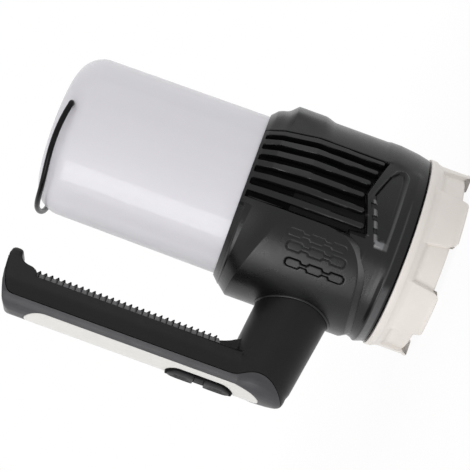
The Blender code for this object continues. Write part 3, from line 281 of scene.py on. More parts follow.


# Materials

# rough: lowest and highest roughness; depth: strength of the grain; spread: share by which the tone varies;
# a second colour, where given, is what painted highlights blend toward
finishes = dict(
    housingBlack=dict(colour=(0.0038, 0.0038, 0.0042), rough=(0.25, 0.32), grain=1900, depth=0.16,
                      specular=0.3, paintedHighlight=(0.16, 0.16, 0.166)),
    # the next two skins are low-gloss blacks that paint shade into grooves and recesses
    shadeBlack=dict(colour=(0.005, 0.005, 0.0055), rough=(0.4, 0.5), grain=1500, depth=0.16, specular=0.1),
    grooveShadeBlack=dict(colour=(0.004, 0.004, 0.0042), rough=(0.6, 0.7), grain=1500, depth=0.2, specular=0.03),
    gripBlack=dict(colour=(0.008, 0.0078, 0.0082), rough=(0.32, 0.4), grain=1700, depth=0.2, specular=0.18),
    spineGrey=dict(colour=(0.05, 0.049, 0.053), rough=(0.32, 0.4), grain=2100, depth=0.16, specular=0.2),
    ringCream=dict(colour=(0.74, 0.7, 0.66), rough=(0.4, 0.46), grain=1600, depth=0.12, specular=0.3,
                   spread=0.02),
    stripWhite=dict(colour=(0.62, 0.61, 0.59), rough=(0.3, 0.38), grain=1600, depth=0.08, specular=0.3,
                    spread=0.02),
    padRubber=dict(colour=(0.012, 0.012, 0.013), rough=(0.55, 0.7), grain=1300, depth=0.32, specular=0.15,
                   paintedHighlight=(0.17, 0.17, 0.175)),
    bezelBlack=dict(colour=(0.004, 0.004, 0.0042), rough=(0.45, 0.55), grain=1500, depth=0.16,
                    specular=0.04),
    buttonRubber=dict(colour=(0.023, 0.023, 0.025), rough=(0.5, 0.6), grain=1300, depth=0.24, specular=0.2),
    coverRubber=dict(colour=(0.011, 0.011, 0.012), rough=(0.55, 0.7), grain=1300, depth=0.32, specular=0.15),
    sealRubber=dict(colour=(0.015, 0.015, 0.015), rough=(0.6, 0.75), grain=1200, depth=0.32, specular=0.3),
    insideBlack=dict(colour=(0.018, 0.018, 0.019), rough=(0.45, 0.6), grain=900, depth=0.2, specular=0.4),
    cellSleeve=dict(colour=(0.05, 0.16, 0.3), rough=(0.3, 0.42), grain=700, depth=0.12, specular=0.5),
    boardGreen=dict(colour=(0.02, 0.17, 0.07), rough=(0.35, 0.5), grain=1500, depth=0.2, specular=0.5),
    boardWhite=dict(colour=(0.82, 0.83, 0.8), rough=(0.4, 0.5), grain=1500, depth=0.12, specular=0.5),
    phosphor=dict(colour=(0.86, 0.66, 0.13), rough=(0.35, 0.5), grain=1400, depth=0.2, specular=0.5),
)
moulding = dict(toneScale=90.0, flowScale=140.0, spread=0.08)
frost = dict(dark=(0.635, 0.62, 0.662), pale=(0.668, 0.652, 0.695), lineScale=55.0, lineStretch=0.02,
             glossScale=160.0, rough=(0.42, 0.5), grain=1500.0, depth=0.12, coat=0.34, coatRough=0.02,
             scatter=0.25, scatterReach=0.01, scatterTint=(1.0, 0.95, 1.0))
enamel = dict(dark=(0.003, 0.003, 0.0035), pale=(0.006, 0.006, 0.0065), toneScale=260.0, glossScale=420.0,
              rough=(0.18, 0.3), grain=1100.0, depth=0.08, specular=0.12)
metals = dict(
    mirrorCoat=dict(colour=(0.92, 0.92, 0.93), rough=(0.05, 0.1), streak=1.0),
    aluminium=dict(colour=(0.66, 0.67, 0.68), rough=(0.3, 0.42), streak=0.1),
    platedSteel=dict(colour=(0.6, 0.6, 0.62), rough=(0.25, 0.36), streak=0.3),
)
metalMarks = dict(scale=900.0, darker=0.88, depth=0.1, height=0.0001)
clearLook = dict(tint=(0.97, 0.985, 1.0), glossScale=60.0, rough=(0.02, 0.06), grain=500.0, depth=0.01,
                 height=0.0001, refraction=1.49)


class Nodes:
    # short ways to add and join shader nodes
    def __init__(self, name):
        self.material = bpy.data.materials.new(name)
        self.material.use_nodes = True
        self.tree = self.material.node_tree
        self.shader = self.tree.nodes["Principled BSDF"]
        self.place = self.add("ShaderNodeTexCoord").outputs["Object"]

    def add(self, kind, **values):
        node = self.tree.nodes.new(kind)
        for key, value in values.items():
            setattr(node, key, value)
        return node

    def join(self, source, target):
        self.tree.links.new(source, target)

    def noise(self, scale, detail=3.0, roughness=0.5, place=None):
        node = self.add("ShaderNodeTexNoise")
        node.inputs["Scale"].default_value = scale
        node.inputs["Detail"].default_value = detail
        node.inputs["Roughness"].default_value = roughness
        self.join(place or self.place, node.inputs["Vector"])
        return node.outputs["Fac"]

    def spread(self, source, low, high, fromLow=0.3, fromHigh=0.7):
        node = self.add("ShaderNodeMapRange")
        for key, value in (("From Min", fromLow), ("From Max", fromHigh), ("To Min", low), ("To Max", high)):
            node.inputs[key].default_value = value
        self.join(source, node.inputs["Value"])
        return node.outputs["Result"]

    def stretched(self, lengthwise):
        # the object's own coordinates, with the length of the lamp drawn out
        node = self.add("ShaderNodeMapping")
        node.inputs["Scale"].default_value = (1.0, 1.0, lengthwise)
        self.join(self.place, node.inputs["Vector"])
        return node.outputs["Vector"]

    def blendColours(self, share, first, second):
        # first may be a colour or another node's output
        node = self.add("ShaderNodeMix", data_type="RGBA")
        node.inputs["B"].default_value = (*second, 1.0)
        if isinstance(first, tuple):
            node.inputs["A"].default_value = (*first, 1.0)
        else:
            self.join(first, node.inputs["A"])
        self.join(share, node.inputs["Factor"])
        return node.outputs["Result"]

    def finish(self, colour, rough, normal):
        for source, key in ((colour, "Base Color"), (rough, "Roughness"), (normal, "Normal")):
            if source:
                self.join(source, self.shader.inputs[key])

    def bump(self, height, strength, distance=0.0002):
        node = self.add("ShaderNodeBump")
        node.inputs["Strength"].default_value = strength
        node.inputs["Distance"].default_value = distance
        self.join(height, node.inputs["Height"])
        return node.outputs["Normal"]

    def set(self, **values):
        for key, value in values.items():
            self.shader.inputs[key.replace("_", " ")].default_value = value


def mouldedPlastic(name):
    # spark-eroded grain, flow marks in gloss and slight unevenness of tone, and painted highlights where the
    # mesh carries them
    look = finishes[name]
    nodes = Nodes(name)
    spread = look.get("spread", moulding["spread"])
    darker = tuple(channel * (1.0 - spread) for channel in look["colour"])
    lighter = tuple(min(1.0, channel * (1.0 + spread)) for channel in look["colour"])
    tone = nodes.spread(nodes.noise(moulding["toneScale"], 4.0), 0.0, 1.0)
    colour = nodes.blendColours(tone, darker, lighter)
    # painted highlight: a vertex value lightens the colour toward the finish's highlight colour
    if "paintedHighlight" in look:
        paintedHighlight = nodes.add("ShaderNodeAttribute", attribute_name="paintedHighlight").outputs["Fac"]
        colour = nodes.blendColours(paintedHighlight, colour, look["paintedHighlight"])
    flow = nodes.spread(nodes.noise(moulding["flowScale"], 5.0), *look["rough"])
    grain = nodes.noise(look["grain"], 2.0, 0.6)
    nodes.finish(colour, flow, nodes.bump(grain, look["depth"]))
    nodes.set(Specular_IOR_Level=look["specular"])
    return nodes.material


def frostedPlastic(name):
    # milky plastic: a satin skin over a body that scatters light, with faint drawing lines along its length
    nodes = Nodes(name)
    lines = nodes.noise(frost["lineScale"], 3.0, 0.55, nodes.stretched(frost["lineStretch"]))
    colour = nodes.blendColours(nodes.spread(lines, 0.0, 1.0), frost["dark"], frost["pale"])
    rough = nodes.spread(nodes.noise(frost["glossScale"], 4.0), *frost["rough"])
    nodes.finish(colour, rough, nodes.bump(nodes.noise(frost["grain"], 2.0), frost["depth"]))
    nodes.set(Coat_Weight=frost["coat"], Coat_Roughness=frost["coatRough"])
    nodes.set(Subsurface_Weight=frost["scatter"], Subsurface_Scale=frost["scatterReach"],
              Subsurface_Radius=frost["scatterTint"])
    return nodes.material


def enamelledWire(name):
    nodes = Nodes(name)
    tone = nodes.spread(nodes.noise(enamel["toneScale"]), 0.0, 1.0)
    rough = nodes.spread(nodes.noise(enamel["glossScale"]), *enamel["rough"])
    grain = nodes.bump(nodes.noise(enamel["grain"], 2.0), enamel["depth"])
    nodes.finish(nodes.blendColours(tone, enamel["dark"], enamel["pale"]), rough, grain)
    nodes.set(Specular_IOR_Level=enamel["specular"])
    return nodes.material


def bareMetal(name):
    # tool marks that vary tone, gloss and relief together
    look = metals[name]
    nodes = Nodes(name)
    marks = nodes.noise(metalMarks["scale"], 3.0, 0.6, nodes.stretched(look["streak"]))
    darker = tuple(channel * metalMarks["darker"] for channel in look["colour"])
    colour = nodes.blendColours(nodes.spread(marks, 0.0, 1.0), darker, look["colour"])
    relief = nodes.bump(marks, metalMarks["depth"], metalMarks["height"])
    nodes.finish(colour, nodes.spread(marks, *look["rough"]), relief)
    nodes.set(Metallic=1.0)
    return nodes.material


def clearPlastic(name):
    nodes = Nodes(name)
    rough = nodes.spread(nodes.noise(clearLook["glossScale"]), *clearLook["rough"])
    relief = nodes.bump(nodes.noise(clearLook["grain"], 2.0), clearLook["depth"], clearLook["height"])
    nodes.finish(None, rough, relief)
    nodes.set(Base_Color=(*clearLook["tint"], 1.0), Transmission_Weight=1.0, IOR=clearLook["refraction"])
    return nodes.material


skins = {name: mouldedPlastic(name) for name in finishes}
skins.update({name: bareMetal(name) for name in metals})
skins["diffuserFrost"] = frostedPlastic("diffuserFrost")
skins["bailEnamel"] = enamelledWire("bailEnamel")
skins["lensClear"] = clearPlastic("lensClear")
print("materials ready")

# The ribbed barrel: one moulded skin whose radius depends on turn and height

# crest, collar, frontEdge, lip, field and panel are (height, radius) points, and inside is (radius, height)
# the frame's corners and floor are (turn, height) points
# the values of beside are for the narrow strip between the lower pad and the first groove
barrel = dict(
    ribTurns=[76.9 + 8.27 * rib for rib in range(6)], ribFoot=0.75, ribNose=1.4, ribEnd=111.3,
    ribHalf=[(52.0, 1.15), (86.0, 1.75), (112.0, 1.5)],
    crest=[(84.5, 54.7), (88.3, 54.1), (103.5, 51.35), (111.3, 48.2), (113.6, 46.5)],
    collar=[(104.0, 58.0), (110.3, 49.9), (110.8, 49.35), (113.6, 46.6)],
    grooveDepth=3.5, grooveFloor=46.4, valley=52.3,
    chevronTurn=95.0, chevronZ=54.0, chevronFalls=(0.3, 0.26), wallBack=1.2, wallTop=54.6, wallSteep=5.0,
    hiddenRadius=50.4, coverTurn=66.0, coverZ=48.2, coverEdge=(67.0, 49.2),
    besideTurns=(72.5, 73.5), besideHeights=(44.0, 47.5), besideBack=9.0, besideDrop=1.4,
    frontEdge=[(23.5, 51.0), (24.25, 51.2), (24.4, 52.7), (25.4, 52.95)],
    lip=[(28.9, 54.2), (29.3, 54.3), (29.9, 54.2), (30.6, 53.7), (31.6, 53.1), (33.6, 52.65), (36.0, 52.5),
         (40.0, 52.4)],
    field=[(28.9, 54.1), (29.4, 54.2), (31.4, 54.4), (32.6, 54.45)], fieldTop=55.4, fieldTurns=(44.0, 68.0),
    frameCorners=[(68.2, 36.4), (69.6, 33.7), (114.6, 33.7), (118.4, 36.6), (117.2, 41.6), (93.1, 51.2),
                  (68.9, 41.6)],
    frameFloor=[(71.7, 36.6), (73.3, 35.1), (111.0, 35.1), (116.3, 36.6), (115.6, 39.2), (110.1, 43.3),
                (96.4, 47.9), (72.7, 40.0)],
    frameRise=0.6, frameSink=1.7, frameSoft=1.1, floorSoft=0.5, gentleHeights=(35.8, 40.0),
    notchTurns=(89.4, 83.2, 76.5), notchDepth=1.0, notchHalf=(0.9, 1.4), notchReach=(71.0, 91.5),
    notchLine=(69.0, 38.6, 0.36),
    panel=[(30.6, 54.0), (34.0, 54.4), (41.0, 55.1), (46.5, 55.1), (48.4, 54.65), (78.7, 54.6),
           (84.4, 56.25), (100.0, 56.25), (100.6, 56.0), (102.4, 54.2), (104.0, 52.6), (105.6, 51.7),
           (108.4, 50.9), (110.3, 50.0), (113.6, 46.6)],
    flushFrom=60.0, flushRise=0.12, flushTurns=(121.5, 139.0),
    panelTurn=120.9, panelHalf=0.35, panelSoft=2.6, softHeights=(43.0, 47.0),
    seamDepth=0.4, seamHalf=0.32, seamHeights=(46.0, 50.0),
    bedHalf=8.35, bedZ=(84.1, 96.6), bedRadius=54.1, bedRim=56.3,
    inside=[(46.1, 113.6), (45.9, 107.9), (44.3, 107.6), (44.3, 104.0), (49.8, 84.0), (49.8, 28.0),
            (45.1, 26.2), (45.1, 11.1), (47.5, 11.1), (47.5, 23.5)],
)
# where painted shade goes: in the grooves, along the frame's upper-left inner wall and at the joint beside
# the ring
barrelShade = dict(
    ribTurns=(71.0, 121.0), ribStart=-0.4, ribEnd=111.2, below=0.8, paleTurn=85.0, paleZ=88.3,
    lineTurns=(95.0, 110.8), line=(94.5, 48.95, -0.338), lineHalf=0.5, frontZ=24.45, frontRadius=50.0,
)
# how strong the painted highlight is at each place, and the turns and heights between which it shows
barrelHighlightShares = dict(
    lip=0.5, lipFade=0.08, fadeTurns=(15.0, 45.0), lipTurns=(45.0, 51.5),
    lipHeights=(25.2, 25.6, 28.9, 29.4),
    crest=0.25, crestZ=29.3, crestHalf=0.42, crestTurns=(46.0, 52.0, 88.0, 104.0),
    dashes=0.75, dashTurns=(70.6, 71.2, 92.4, 93.2), dashGap=(1.25, 1.7),
    dashLow=(72.7, 40.0, 0.335), dashHigh=(70.6, 41.9, 0.324),
    patches=[dict(share=0.95, turns=(67.8, 68.3, 71.5, 72.4), heights=(36.1, 36.6, 40.6, 41.4)),
             dict(share=0.4, turns=(67.8, 68.3, 71.5, 72.4), heights=(33.7, 34.2, 36.1, 36.6)),
             dict(share=0.3, turns=(71.5, 72.4, 90.0, 122.0), heights=(33.9, 34.3, 35.0, 35.9))],
    ribs=(0.45, 0.3), ribEdge=1.45, ribHalf=0.3, ribHeights=(48.0, 49.5, 62.0, 86.0),
    foot=0.3, footTurn=73.4, footHalf=0.35, footHeights=(46.4, 47.0, 51.0, 54.5), skinRadius=51.5,
)
perDegree = 0.9555  # mm along the skin for one degree
farOff = 99.0  # more than any radius or distance in the barrel


def slanted(turn, line):
    # height of a slanted line, given by one of its turns, the height there and the rise per degree
    start, height, rise = line
    return height + (turn - start) * rise


def chevronWall(turn):
    # height where the raised field ends and the ribs start
    before, after = barrel["chevronFalls"]
    past = turn - barrel["chevronTurn"]
    return barrel["chevronZ"] - np.where(past < 0.0, -before * past, after * past)


def tailCollar(z):
    return along(z, barrel["collar"])


def ribCrest(z):
    return along(z, barrel["crest"])


def insideOf(corners, turn, z, blend):
    # distance inside a shape whose corners are given as (turn, z)
    corners = [(cornerTurn * perDegree, height) for cornerTurn, height in corners]
    away = np.full_like(z, farOff)
    for (startT, startH), (endT, endH) in zip(corners, corners[1:] + corners[:1]):
        length = math.hypot(endT - startT, endH - startH)
        side = -((turn * perDegree - startT) * (endH - startH) - (z - startH) * (endT - startT)) / length
        away = softMin(away, side, blend)
    return away


def frameLift(turn, z):
    # raised triangular frame round a sunk floor, its left side cut by notches
    outer = insideOf(barrel["frameCorners"], turn, z, barrel["frameSoft"])
    floor = insideOf(barrel["frameFloor"], turn, z, barrel["floorSoft"])
    gentle = 1.0 - ramp(z, *barrel["gentleHeights"])
    lift = barrel["frameRise"] * ramp(outer, 0.0, 0.7)
    lift = lift - barrel["frameSink"] * ramp(floor, -1.0, 2.2 * gentle)
    first, last = barrel["notchReach"]
    leftSide = (turn > first) & (turn < last) & (z > slanted(turn, barrel["notchLine"]))
    onWall = ramp(outer, 0.4, 0.8) * (1.0 - ramp(floor, -0.7, -0.2))
    for notchTurn in barrel["notchTurns"]:
        gap = 1.0 - ramp(np.abs(turn - notchTurn) * perDegree, *barrel["notchHalf"])
        lift = lift - np.where(leftSide, barrel["notchDepth"] * gap * onWall, 0.0)
    return lift


def ribSurface(turn, z):
    # ribs with rounded noses, and the grooves between them
    crest, half, nose = ribCrest(z), along(z, barrel["ribHalf"]), barrel["ribNose"]
    share = np.zeros_like(z)
    for ribTurn in barrel["ribTurns"]:
        away = np.radians(np.abs(turn - ribTurn)) * crest
        start = chevronWall(ribTurn) + nose - np.sqrt(nose ** 2 - np.clip(away, 0.0, nose) ** 2)
        risen = ramp(z, start - 0.15, start + 0.75)
        share = np.maximum(share, (1.0 - ramp(away, half, half + barrel["ribFoot"])) * risen)
    depth = np.minimum(barrel["grooveDepth"], crest - barrel["grooveFloor"])
    return crest - depth * (1.0 - ramp(z, barrel["ribEnd"], barrel["ribEnd"] + 0.9)) * (1.0 - share)


def frontSurface(turn, z):
    # lip and valley in front of the pad, and the raised field with its frame and its wall
    beside = 1.0 - ramp(turn, *barrel["besideTurns"])
    wall = chevronWall(turn) - barrel["wallBack"] + barrel["besideBack"] * beside
    field = along(z, barrel["frontEdge"] + barrel["field"]) + frameLift(turn, z)
    field = field - barrel["besideDrop"] * beside * ramp(z, *barrel["besideHeights"])
    fall = barrel["wallTop"] - (z - wall) * barrel["wallSteep"]
    field = np.where(turn > barrel["coverTurn"], softMin(field, fall, 0.4), field)
    lip = along(z, barrel["frontEdge"] + barrel["lip"])
    high = ramp(turn, *barrel["fieldTurns"])
    return lip * (1.0 - high) + np.minimum(field, barrel["fieldTop"]) * high, wall


def panelSurface(turn, z):
    # plain top panel, which starts flush with the ribs
    panel = along(z, barrel["frontEdge"] + barrel["panel"])
    flush = np.where(z > barrel["flushFrom"], np.minimum(panel, ribCrest(z) + barrel["flushRise"]), panel)
    return flush + (panel - flush) * ramp(turn, *barrel["flushTurns"])


def barrelRadius(turn, z):
    # turn runs from 0 to 180
    front, wall = frontSurface(turn, z)
    surface = np.where(z < wall + 0.9, softMax(front, barrel["valley"] + 0.0 * z, 0.2), ribSurface(turn, z))
    # the lower pad covers what lies behind its front edge
    hidden, (edgeTurn, edgeZ) = barrel["hiddenRadius"], barrel["coverEdge"]
    surface = np.where(turn < barrel["coverTurn"], np.where(z < barrel["coverZ"], front, hidden), surface)
    surface = np.where((turn < edgeTurn) & (z > edgeZ), hidden, surface)
    # a fine parting line beside the panel, which fades into a soft blend toward the front
    panelTurn = barrel["panelTurn"]
    line = bell((turn - panelTurn) * perDegree, 0.0, barrel["seamHalf"])
    seam = barrel["seamDepth"] * line * ramp(z, *barrel["seamHeights"])
    soft = barrel["panelHalf"] + barrel["panelSoft"] * (1.0 - ramp(z, *barrel["softHeights"]))
    onPanel = ramp(turn, panelTurn - soft, panelTurn + soft)
    surface = surface * (1.0 - onPanel) + panelSurface(turn, z) * onPanel - seam
    # bed of the socket's cover
    across = np.radians(np.abs(180.0 - turn)) * barrel["bedRim"]
    low, high = barrel["bedZ"]
    inBed = (across < barrel["bedHalf"]) & (z > low) & (z < high)
    surface = np.where(inBed, np.minimum(surface, barrel["bedRadius"]), surface)
    return np.minimum(surface, np.where(turn < panelTurn, tailCollar(z), farOff))


def barrelHighlights(radius, turn, z):
    # painted highlights: lighter colour standing in for the sheen on the lip's band, the field's crest, the
    # frame's dashes, corner and ridge, and the lowest ribs' edges
    sheen = barrelHighlightShares
    lip = sheen["lip"] - sheen["lipFade"] * ramp(turn, *sheen["fadeTurns"])
    share = lip * (1.0 - ramp(turn, *sheen["lipTurns"])) * band(z, *sheen["lipHeights"])
    # crest line of the raised field
    share += sheen["crest"] * bell(z, sheen["crestZ"], sheen["crestHalf"]) * band(turn, *sheen["crestTurns"])
    # the frame's dashes between its notches, its lower corner and its ridge
    low, high = slanted(turn, sheen["dashLow"]), slanted(turn, sheen["dashHigh"])
    dashes = band(z, low - 0.1, low + 0.3, high - 0.3, high + 0.1) * band(turn, *sheen["dashTurns"])
    for notchTurn in barrel["notchTurns"]:
        dashes = dashes * ramp(np.abs(turn - notchTurn), *sheen["dashGap"])
    share += sheen["dashes"] * dashes
    for patch in sheen["patches"]:
        share += patch["share"] * band(turn, *patch["turns"]) * band(z, *patch["heights"])
    # lower edges of the two lowest ribs, and the foot of the groove below them
    for ribTurn, amount in zip(barrel["ribTurns"], sheen["ribs"]):
        share += amount * band(z, *sheen["ribHeights"]) * bell(turn, ribTurn - sheen["ribEdge"], sheen["ribHalf"])
    share += sheen["foot"] * bell(turn, sheen["footTurn"], sheen["footHalf"]) * band(z, *sheen["footHeights"])
    return np.clip(share, 0.0, 1.0) * (radius > sheen["skinRadius"])


def barrelColumns():
    turns = spaced(0.0, 59.0, 2.0)[:-1] + spaced(59.0, 74.0, 0.5)[:-1] + spaced(74.0, 120.2, 0.35)
    turns += spaced(120.25, 122.3, 0.22) + spaced(123.0, 170.5, 1.6) + spaced(173.0, 180.0, 1.75)
    for beyond in (0.55, 0.2, 0.05, 0.01, -0.01, -0.15):
        turns.append(180.0 - math.degrees((barrel["bedHalf"] + beyond) / barrel["bedRim"]))
    return np.array(sorted(set(round(turn, 4) for turn in turns)))


def barrelRows():
    rows = [23.5, 24.1, 24.25, 24.4, 24.8] + spaced(25.2, 33.0, 0.34)[:-1] + spaced(33.0, 56.0, 0.33)
    rows += spaced(56.8, 83.4, 0.9) + spaced(84.6, 96.2, 0.6) + spaced(97.1, 103.6, 0.6)
    rows += spaced(104.2, 109.8, 0.7) + spaced(110.1, 113.6, 0.3)
    rows += [edge + beside for edge in barrel["bedZ"] for beside in (-0.05, -0.01, 0.01, 0.05)]
    return np.array(sorted(rows))


def shadeBarrel(mesh):
    # painted shade: low-gloss darker skins in the grooves, along the frame's upper-left inner wall where its
    # shadow falls, and at the joint beside the ring
    mesh.materials.append(skins["grooveShadeBlack"])
    mesh.materials.append(skins["shadeBlack"])
    groove, shade = 1, 2
    look = barrelShade
    (ribFirst, ribLast), (lineFirst, lineLast) = look["ribTurns"], look["lineTurns"]
    for face, radius, turn, z in spots(mesh):
        if ribFirst < turn < ribLast and chevronWall(turn) + look["ribStart"] < z < look["ribEnd"]:
            if radius < ribCrest(z) - look["below"]:
                face.material_index = shade if turn < look["paleTurn"] and z < look["paleZ"] else groove
        elif lineFirst < turn < lineLast and abs(z - slanted(turn, look["line"])) < look["lineHalf"]:
            face.material_index = groove
        elif z < look["frontZ"] and radius > look["frontRadius"]:
            face.material_index = groove


def buildBarrel():
    half = barrelColumns()
    z, turn = np.meshgrid(barrelRows(), half, indexing="ij")
    near = around(barrelRadius(turn, z), turn, z)
    outside = np.concatenate([near, mirrored(near[:, 1:-1])], axis=1)
    turns = np.concatenate([half, -half[1:-1][::-1]])
    bore = np.stack([around(radius, turns, height) for radius, height in barrel["inside"]])
    mesh = gridMesh("barrelSkin", np.concatenate([outside, bore]), True, True)
    addPiece("barrelSkin", mesh, "housingBlack", "lamp", ["housing"], crease=34.0)
    # painted highlights and painted shade on the barrel's skin
    paintHighlights(mesh, barrelHighlights)
    shadeBarrel(mesh)
    print("barrel", len(mesh.polygons))


buildBarrel()

# Lower pad of the barrel, with its bevelled front, chain relief and slanted rear facet

# edgeDrop and the bevel's painted highlight are (turn, value) points, under is (radius, height), and waist
# says how far from its middle each chain starts and ends to narrow and to widen
pad = dict(
    radius=54.8, valley=52.5, edgeTurn=70.4, bevel=3.7,
    frontZ=32.8, frontLean=0.12, cornerTurn=44.0, cornerRise=15.2,
    rearZ=88.7, rearFrom=18.7, rearLean=0.4426, facetEnd=(110.7, 49.3),
    edgeDrop=[(70.3, 0.0), (70.4, 0.04), (70.5, 0.14), (70.62, 0.36), (70.8, 0.9), (71.2, 2.6), (71.5, 4.2)],
    chains=[dict(turn=44.3, z=65.0, half=2.35, plate=0.3, groove=0.62),
            dict(turn=53.75, z=67.2, half=2.35, plate=0.2, groove=0.34),
            dict(turn=60.9, z=69.0, half=2.0, plate=0.16, groove=0.16)],
    waist=(3.2, 4.4, 7.5, 8.7), waistHalf=0.95, chainEnd=13.9, chainRound=2.0, grooveHalf=0.32,
    chainRows=176,
    bevelHighlight=[(10.0, 0.12), (28.0, 0.04), (35.0, 0.04), (41.0, 0.1), (47.0, 0.24), (53.0, 0.55), (58.0, 0.6),
              (61.0, 0.5), (65.6, 0.32), (67.4, 0.05)],
    facetHighlight=0.13, facetHeights=(110.0, 110.4, 111.0), facetTurn=57.0, facetHalf=11.0,
    deepTurns=(41.0, 48.2), deepHeights=(50.0, 81.0), under=[(44.6, 113.5), (50.0, 104.0), (50.0, 60.0)],
)


def padFront(turn):
    # the front edge leans a little, and turns up in a quarter round toward the pad's side
    corner = pad["cornerTurn"]
    side = np.clip((turn - corner) / (pad["edgeTurn"] - corner), 0.0, 0.999)
    lean = pad["frontLean"] * np.minimum(turn, pad["edgeTurn"])
    return pad["frontZ"] + lean + pad["cornerRise"] * (1.0 - np.sqrt(1.0 - side ** 2))


def bevelWidth(turn):
    steep = (padFront(turn + 0.2) - padFront(turn - 0.2)) / (0.4 * perDegree)
    return pad["bevel"] * np.sqrt(1.0 + np.clip(steep, 0.0, 2.6) ** 2)


def padRear(turn):
    depth = pad["radius"] * np.cos(np.radians(np.minimum(turn, pad["edgeTurn"])))
    return pad["rearZ"] + (depth - pad["rearFrom"]) * pad["rearLean"]


def chainLift(turn, z):
    # wide plates joined by narrow waists, with a groove along the edge of each chain
    lift = np.zeros_like(z)
    narrows, narrow, widens, widest = pad["waist"]
    waist, radius = pad["waistHalf"], pad["chainRound"]
    for chain in pad["chains"]:
        lengthways, sideways = np.abs(z - chain["z"]), np.abs(turn - chain["turn"]) * perDegree
        wide = chain["half"]
        half = along(lengthways, [(narrows, wide), (narrow, waist), (widens, waist), (widest, wide)])
        narrowing = (lengthways > narrows) & (lengthways < narrow)
        widening = (lengthways > widens) & (lengthways < widest)
        inside = (half - sideways) * np.where(narrowing | widening, 0.6, 1.0)
        past, beyond = lengthways - pad["chainEnd"], sideways - (wide - radius)
        rounded = np.where(beyond > 0, radius - np.hypot(past, beyond), radius - past)
        inside = np.where(past > 0, rounded, inside)
        groove = chain["groove"] * bell(inside, -0.05, pad["grooveHalf"])
        lift = lift + chain["plate"] * ramp(inside, 0.1, 0.5) - groove
    return lift


def padHighlights(radius, turn, z):
    # painted highlights on the bevel in front and on the facet's middle
    front, wide = padFront(turn), bevelWidth(turn)
    onBevel = (z > front + 0.015 * wide) & (z < front + 0.985 * wide) & (turn < 70.3)
    facet = band(z, padRear(turn) + 3.0, *pad["facetHeights"])
    facet = facet * bell(turn, pad["facetTurn"], pad["facetHalf"])
    return along(turn, pad["bevelHighlight"]) * onBevel + pad["facetHighlight"] * facet * (z > 90.0) * (turn < 70.0)


def padRows(half):
    # (height, radius) of each row, from the front edge over the top and down the facet
    front, rear, bevel = padFront(half), padRear(half), bevelWidth(half)
    top, valley = pad["radius"], pad["valley"]
    endZ, endRadius = pad["facetEnd"]
    rows = [(front - 1.2, 50.2), (front - 0.1, valley - 0.6), (front + 0.03 * bevel, valley + 0.1),
            (front + 0.1 * bevel, valley + 0.4), (front + 0.9 * bevel, top - 0.24),
            (front + 0.97 * bevel, top - 0.08), (front + bevel + 0.2, top)]
    start, end = front + bevel + 1.0, rear - 0.4
    rows += [(start + (end - start) * share, top) for share in np.linspace(0.0, 1.0, pad["chainRows"])]
    rows += [(rear - 0.15, top - 0.01), (rear + 0.1, top - 0.06)]
    for share in np.linspace(0.02, 1.0, 22):
        rows.append((rear + (endZ - rear) * share, top + (endRadius - top) * share))
    return rows + [(z, tailCollar(z)) for z in (110.9, 111.3, 112.3, 113.6)]


def buildPad():
    half = spaced(0.0, 40.5, 1.2)[:-1] + spaced(40.5, 64.5, 0.27)[:-1] + spaced(64.5, 69.0, 0.5)[:-1]
    half += spaced(69.0, 70.3, 0.26) + [point[0] for point in pad["edgeDrop"][1:]]
    half = np.array(half)
    rows = padRows(half)
    z = np.stack([np.broadcast_to(row[0], half.shape) for row in rows])
    radius = np.stack([np.broadcast_to(row[1], half.shape) for row in rows])
    turn = np.broadcast_to(half, z.shape)
    radius = radius + chainLift(turn, z) * (turn < 66.0) - along(half, pad["edgeDrop"])
    under = np.stack([around(deep, half, height) for deep, height in pad["under"]])
    near = np.concatenate([around(radius, turn, z), under])
    mesh = filled(gridMesh("padSkin", np.concatenate([mirrored(near[:, 1:]), near], axis=1), closeRows=True))
    addPiece("padSkin", mesh, "housingBlack", "lamp", crease=34.0)
    # painted shade: a low-gloss darker skin in the grooves round the lowest chain
    mesh.materials.append(skins["grooveShadeBlack"])
    (first, last), (low, high) = pad["deepTurns"], pad["deepHeights"]
    for face, radius, turn, z in spots(mesh):
        if first < turn < last and low < z < high:
            face.material_index = int(radius < pad["radius"] - 0.2)
    # painted highlights on the pad
    paintHighlights(mesh, padHighlights)
    print("pad", len(mesh.polygons))


buildPad()

# Castellated head ring: two closed sections, with and without a tab, blended round the axis

headRing = dict(
    tabs=6, firstTab=39.2, frontHalf=14.4, backHalf=11.7, cornerRadius=2.6, wall=0.8, wallRadius=51.0,
    tabRadius=52.1, recessRadius=50.0, recessFront=3.3, lipOut=0.35,
    back=[(47.8, 23.2), (53.3, 23.2), (53.6, 22.9), (53.7, 22.4), (53.55, 19.7), (53.4, 19.3),
          (52.75, 18.4)],
)


def ringSections():
    # (radius, height) points, as many in one section as in the other
    tabRadius, recessRadius = headRing["tabRadius"], headRing["recessRadius"]
    lip, front = tabRadius + headRing["lipOut"], headRing["recessFront"]
    tab = headRing["back"] + [(52.45, 17.4), (52.3, 16.6)]
    recess = headRing["back"] + [(52.4, 17.3), (52.0, 16.5)]
    for z in np.linspace(15.9, 4.4, 12):
        foot = 1.6 if z > 15.8 else 0.35 if z > 14.7 else 0.0
        tab.append((tabRadius, z))
        recess.append((recessRadius + foot, z))
    tab += [(tabRadius, z) for z in (3.4, 2.6, 1.9)]
    tab += [(tabRadius + 0.05, 1.3), (lip, 0.9), (lip, 0.3), (52.2, 0.06), (51.8, 0.0), (48.0, 0.0),
            (44.7, 0.0), (44.2, 0.2), (44.0, 0.7), (44.0, 5.3), (47.8, 5.3)]
    recess += [(recessRadius, z) for z in (4.1, 4.0, 3.9, 3.8)]
    recess += [(49.95, 3.6), (49.85, 3.45), (49.7, 3.35), (49.5, front), (48.0, front), (44.7, front),
               (44.2, 3.5), (44.0, 4.0), (44.0, 5.3), (47.8, 5.3)]
    return np.array(tab), np.array(recess)


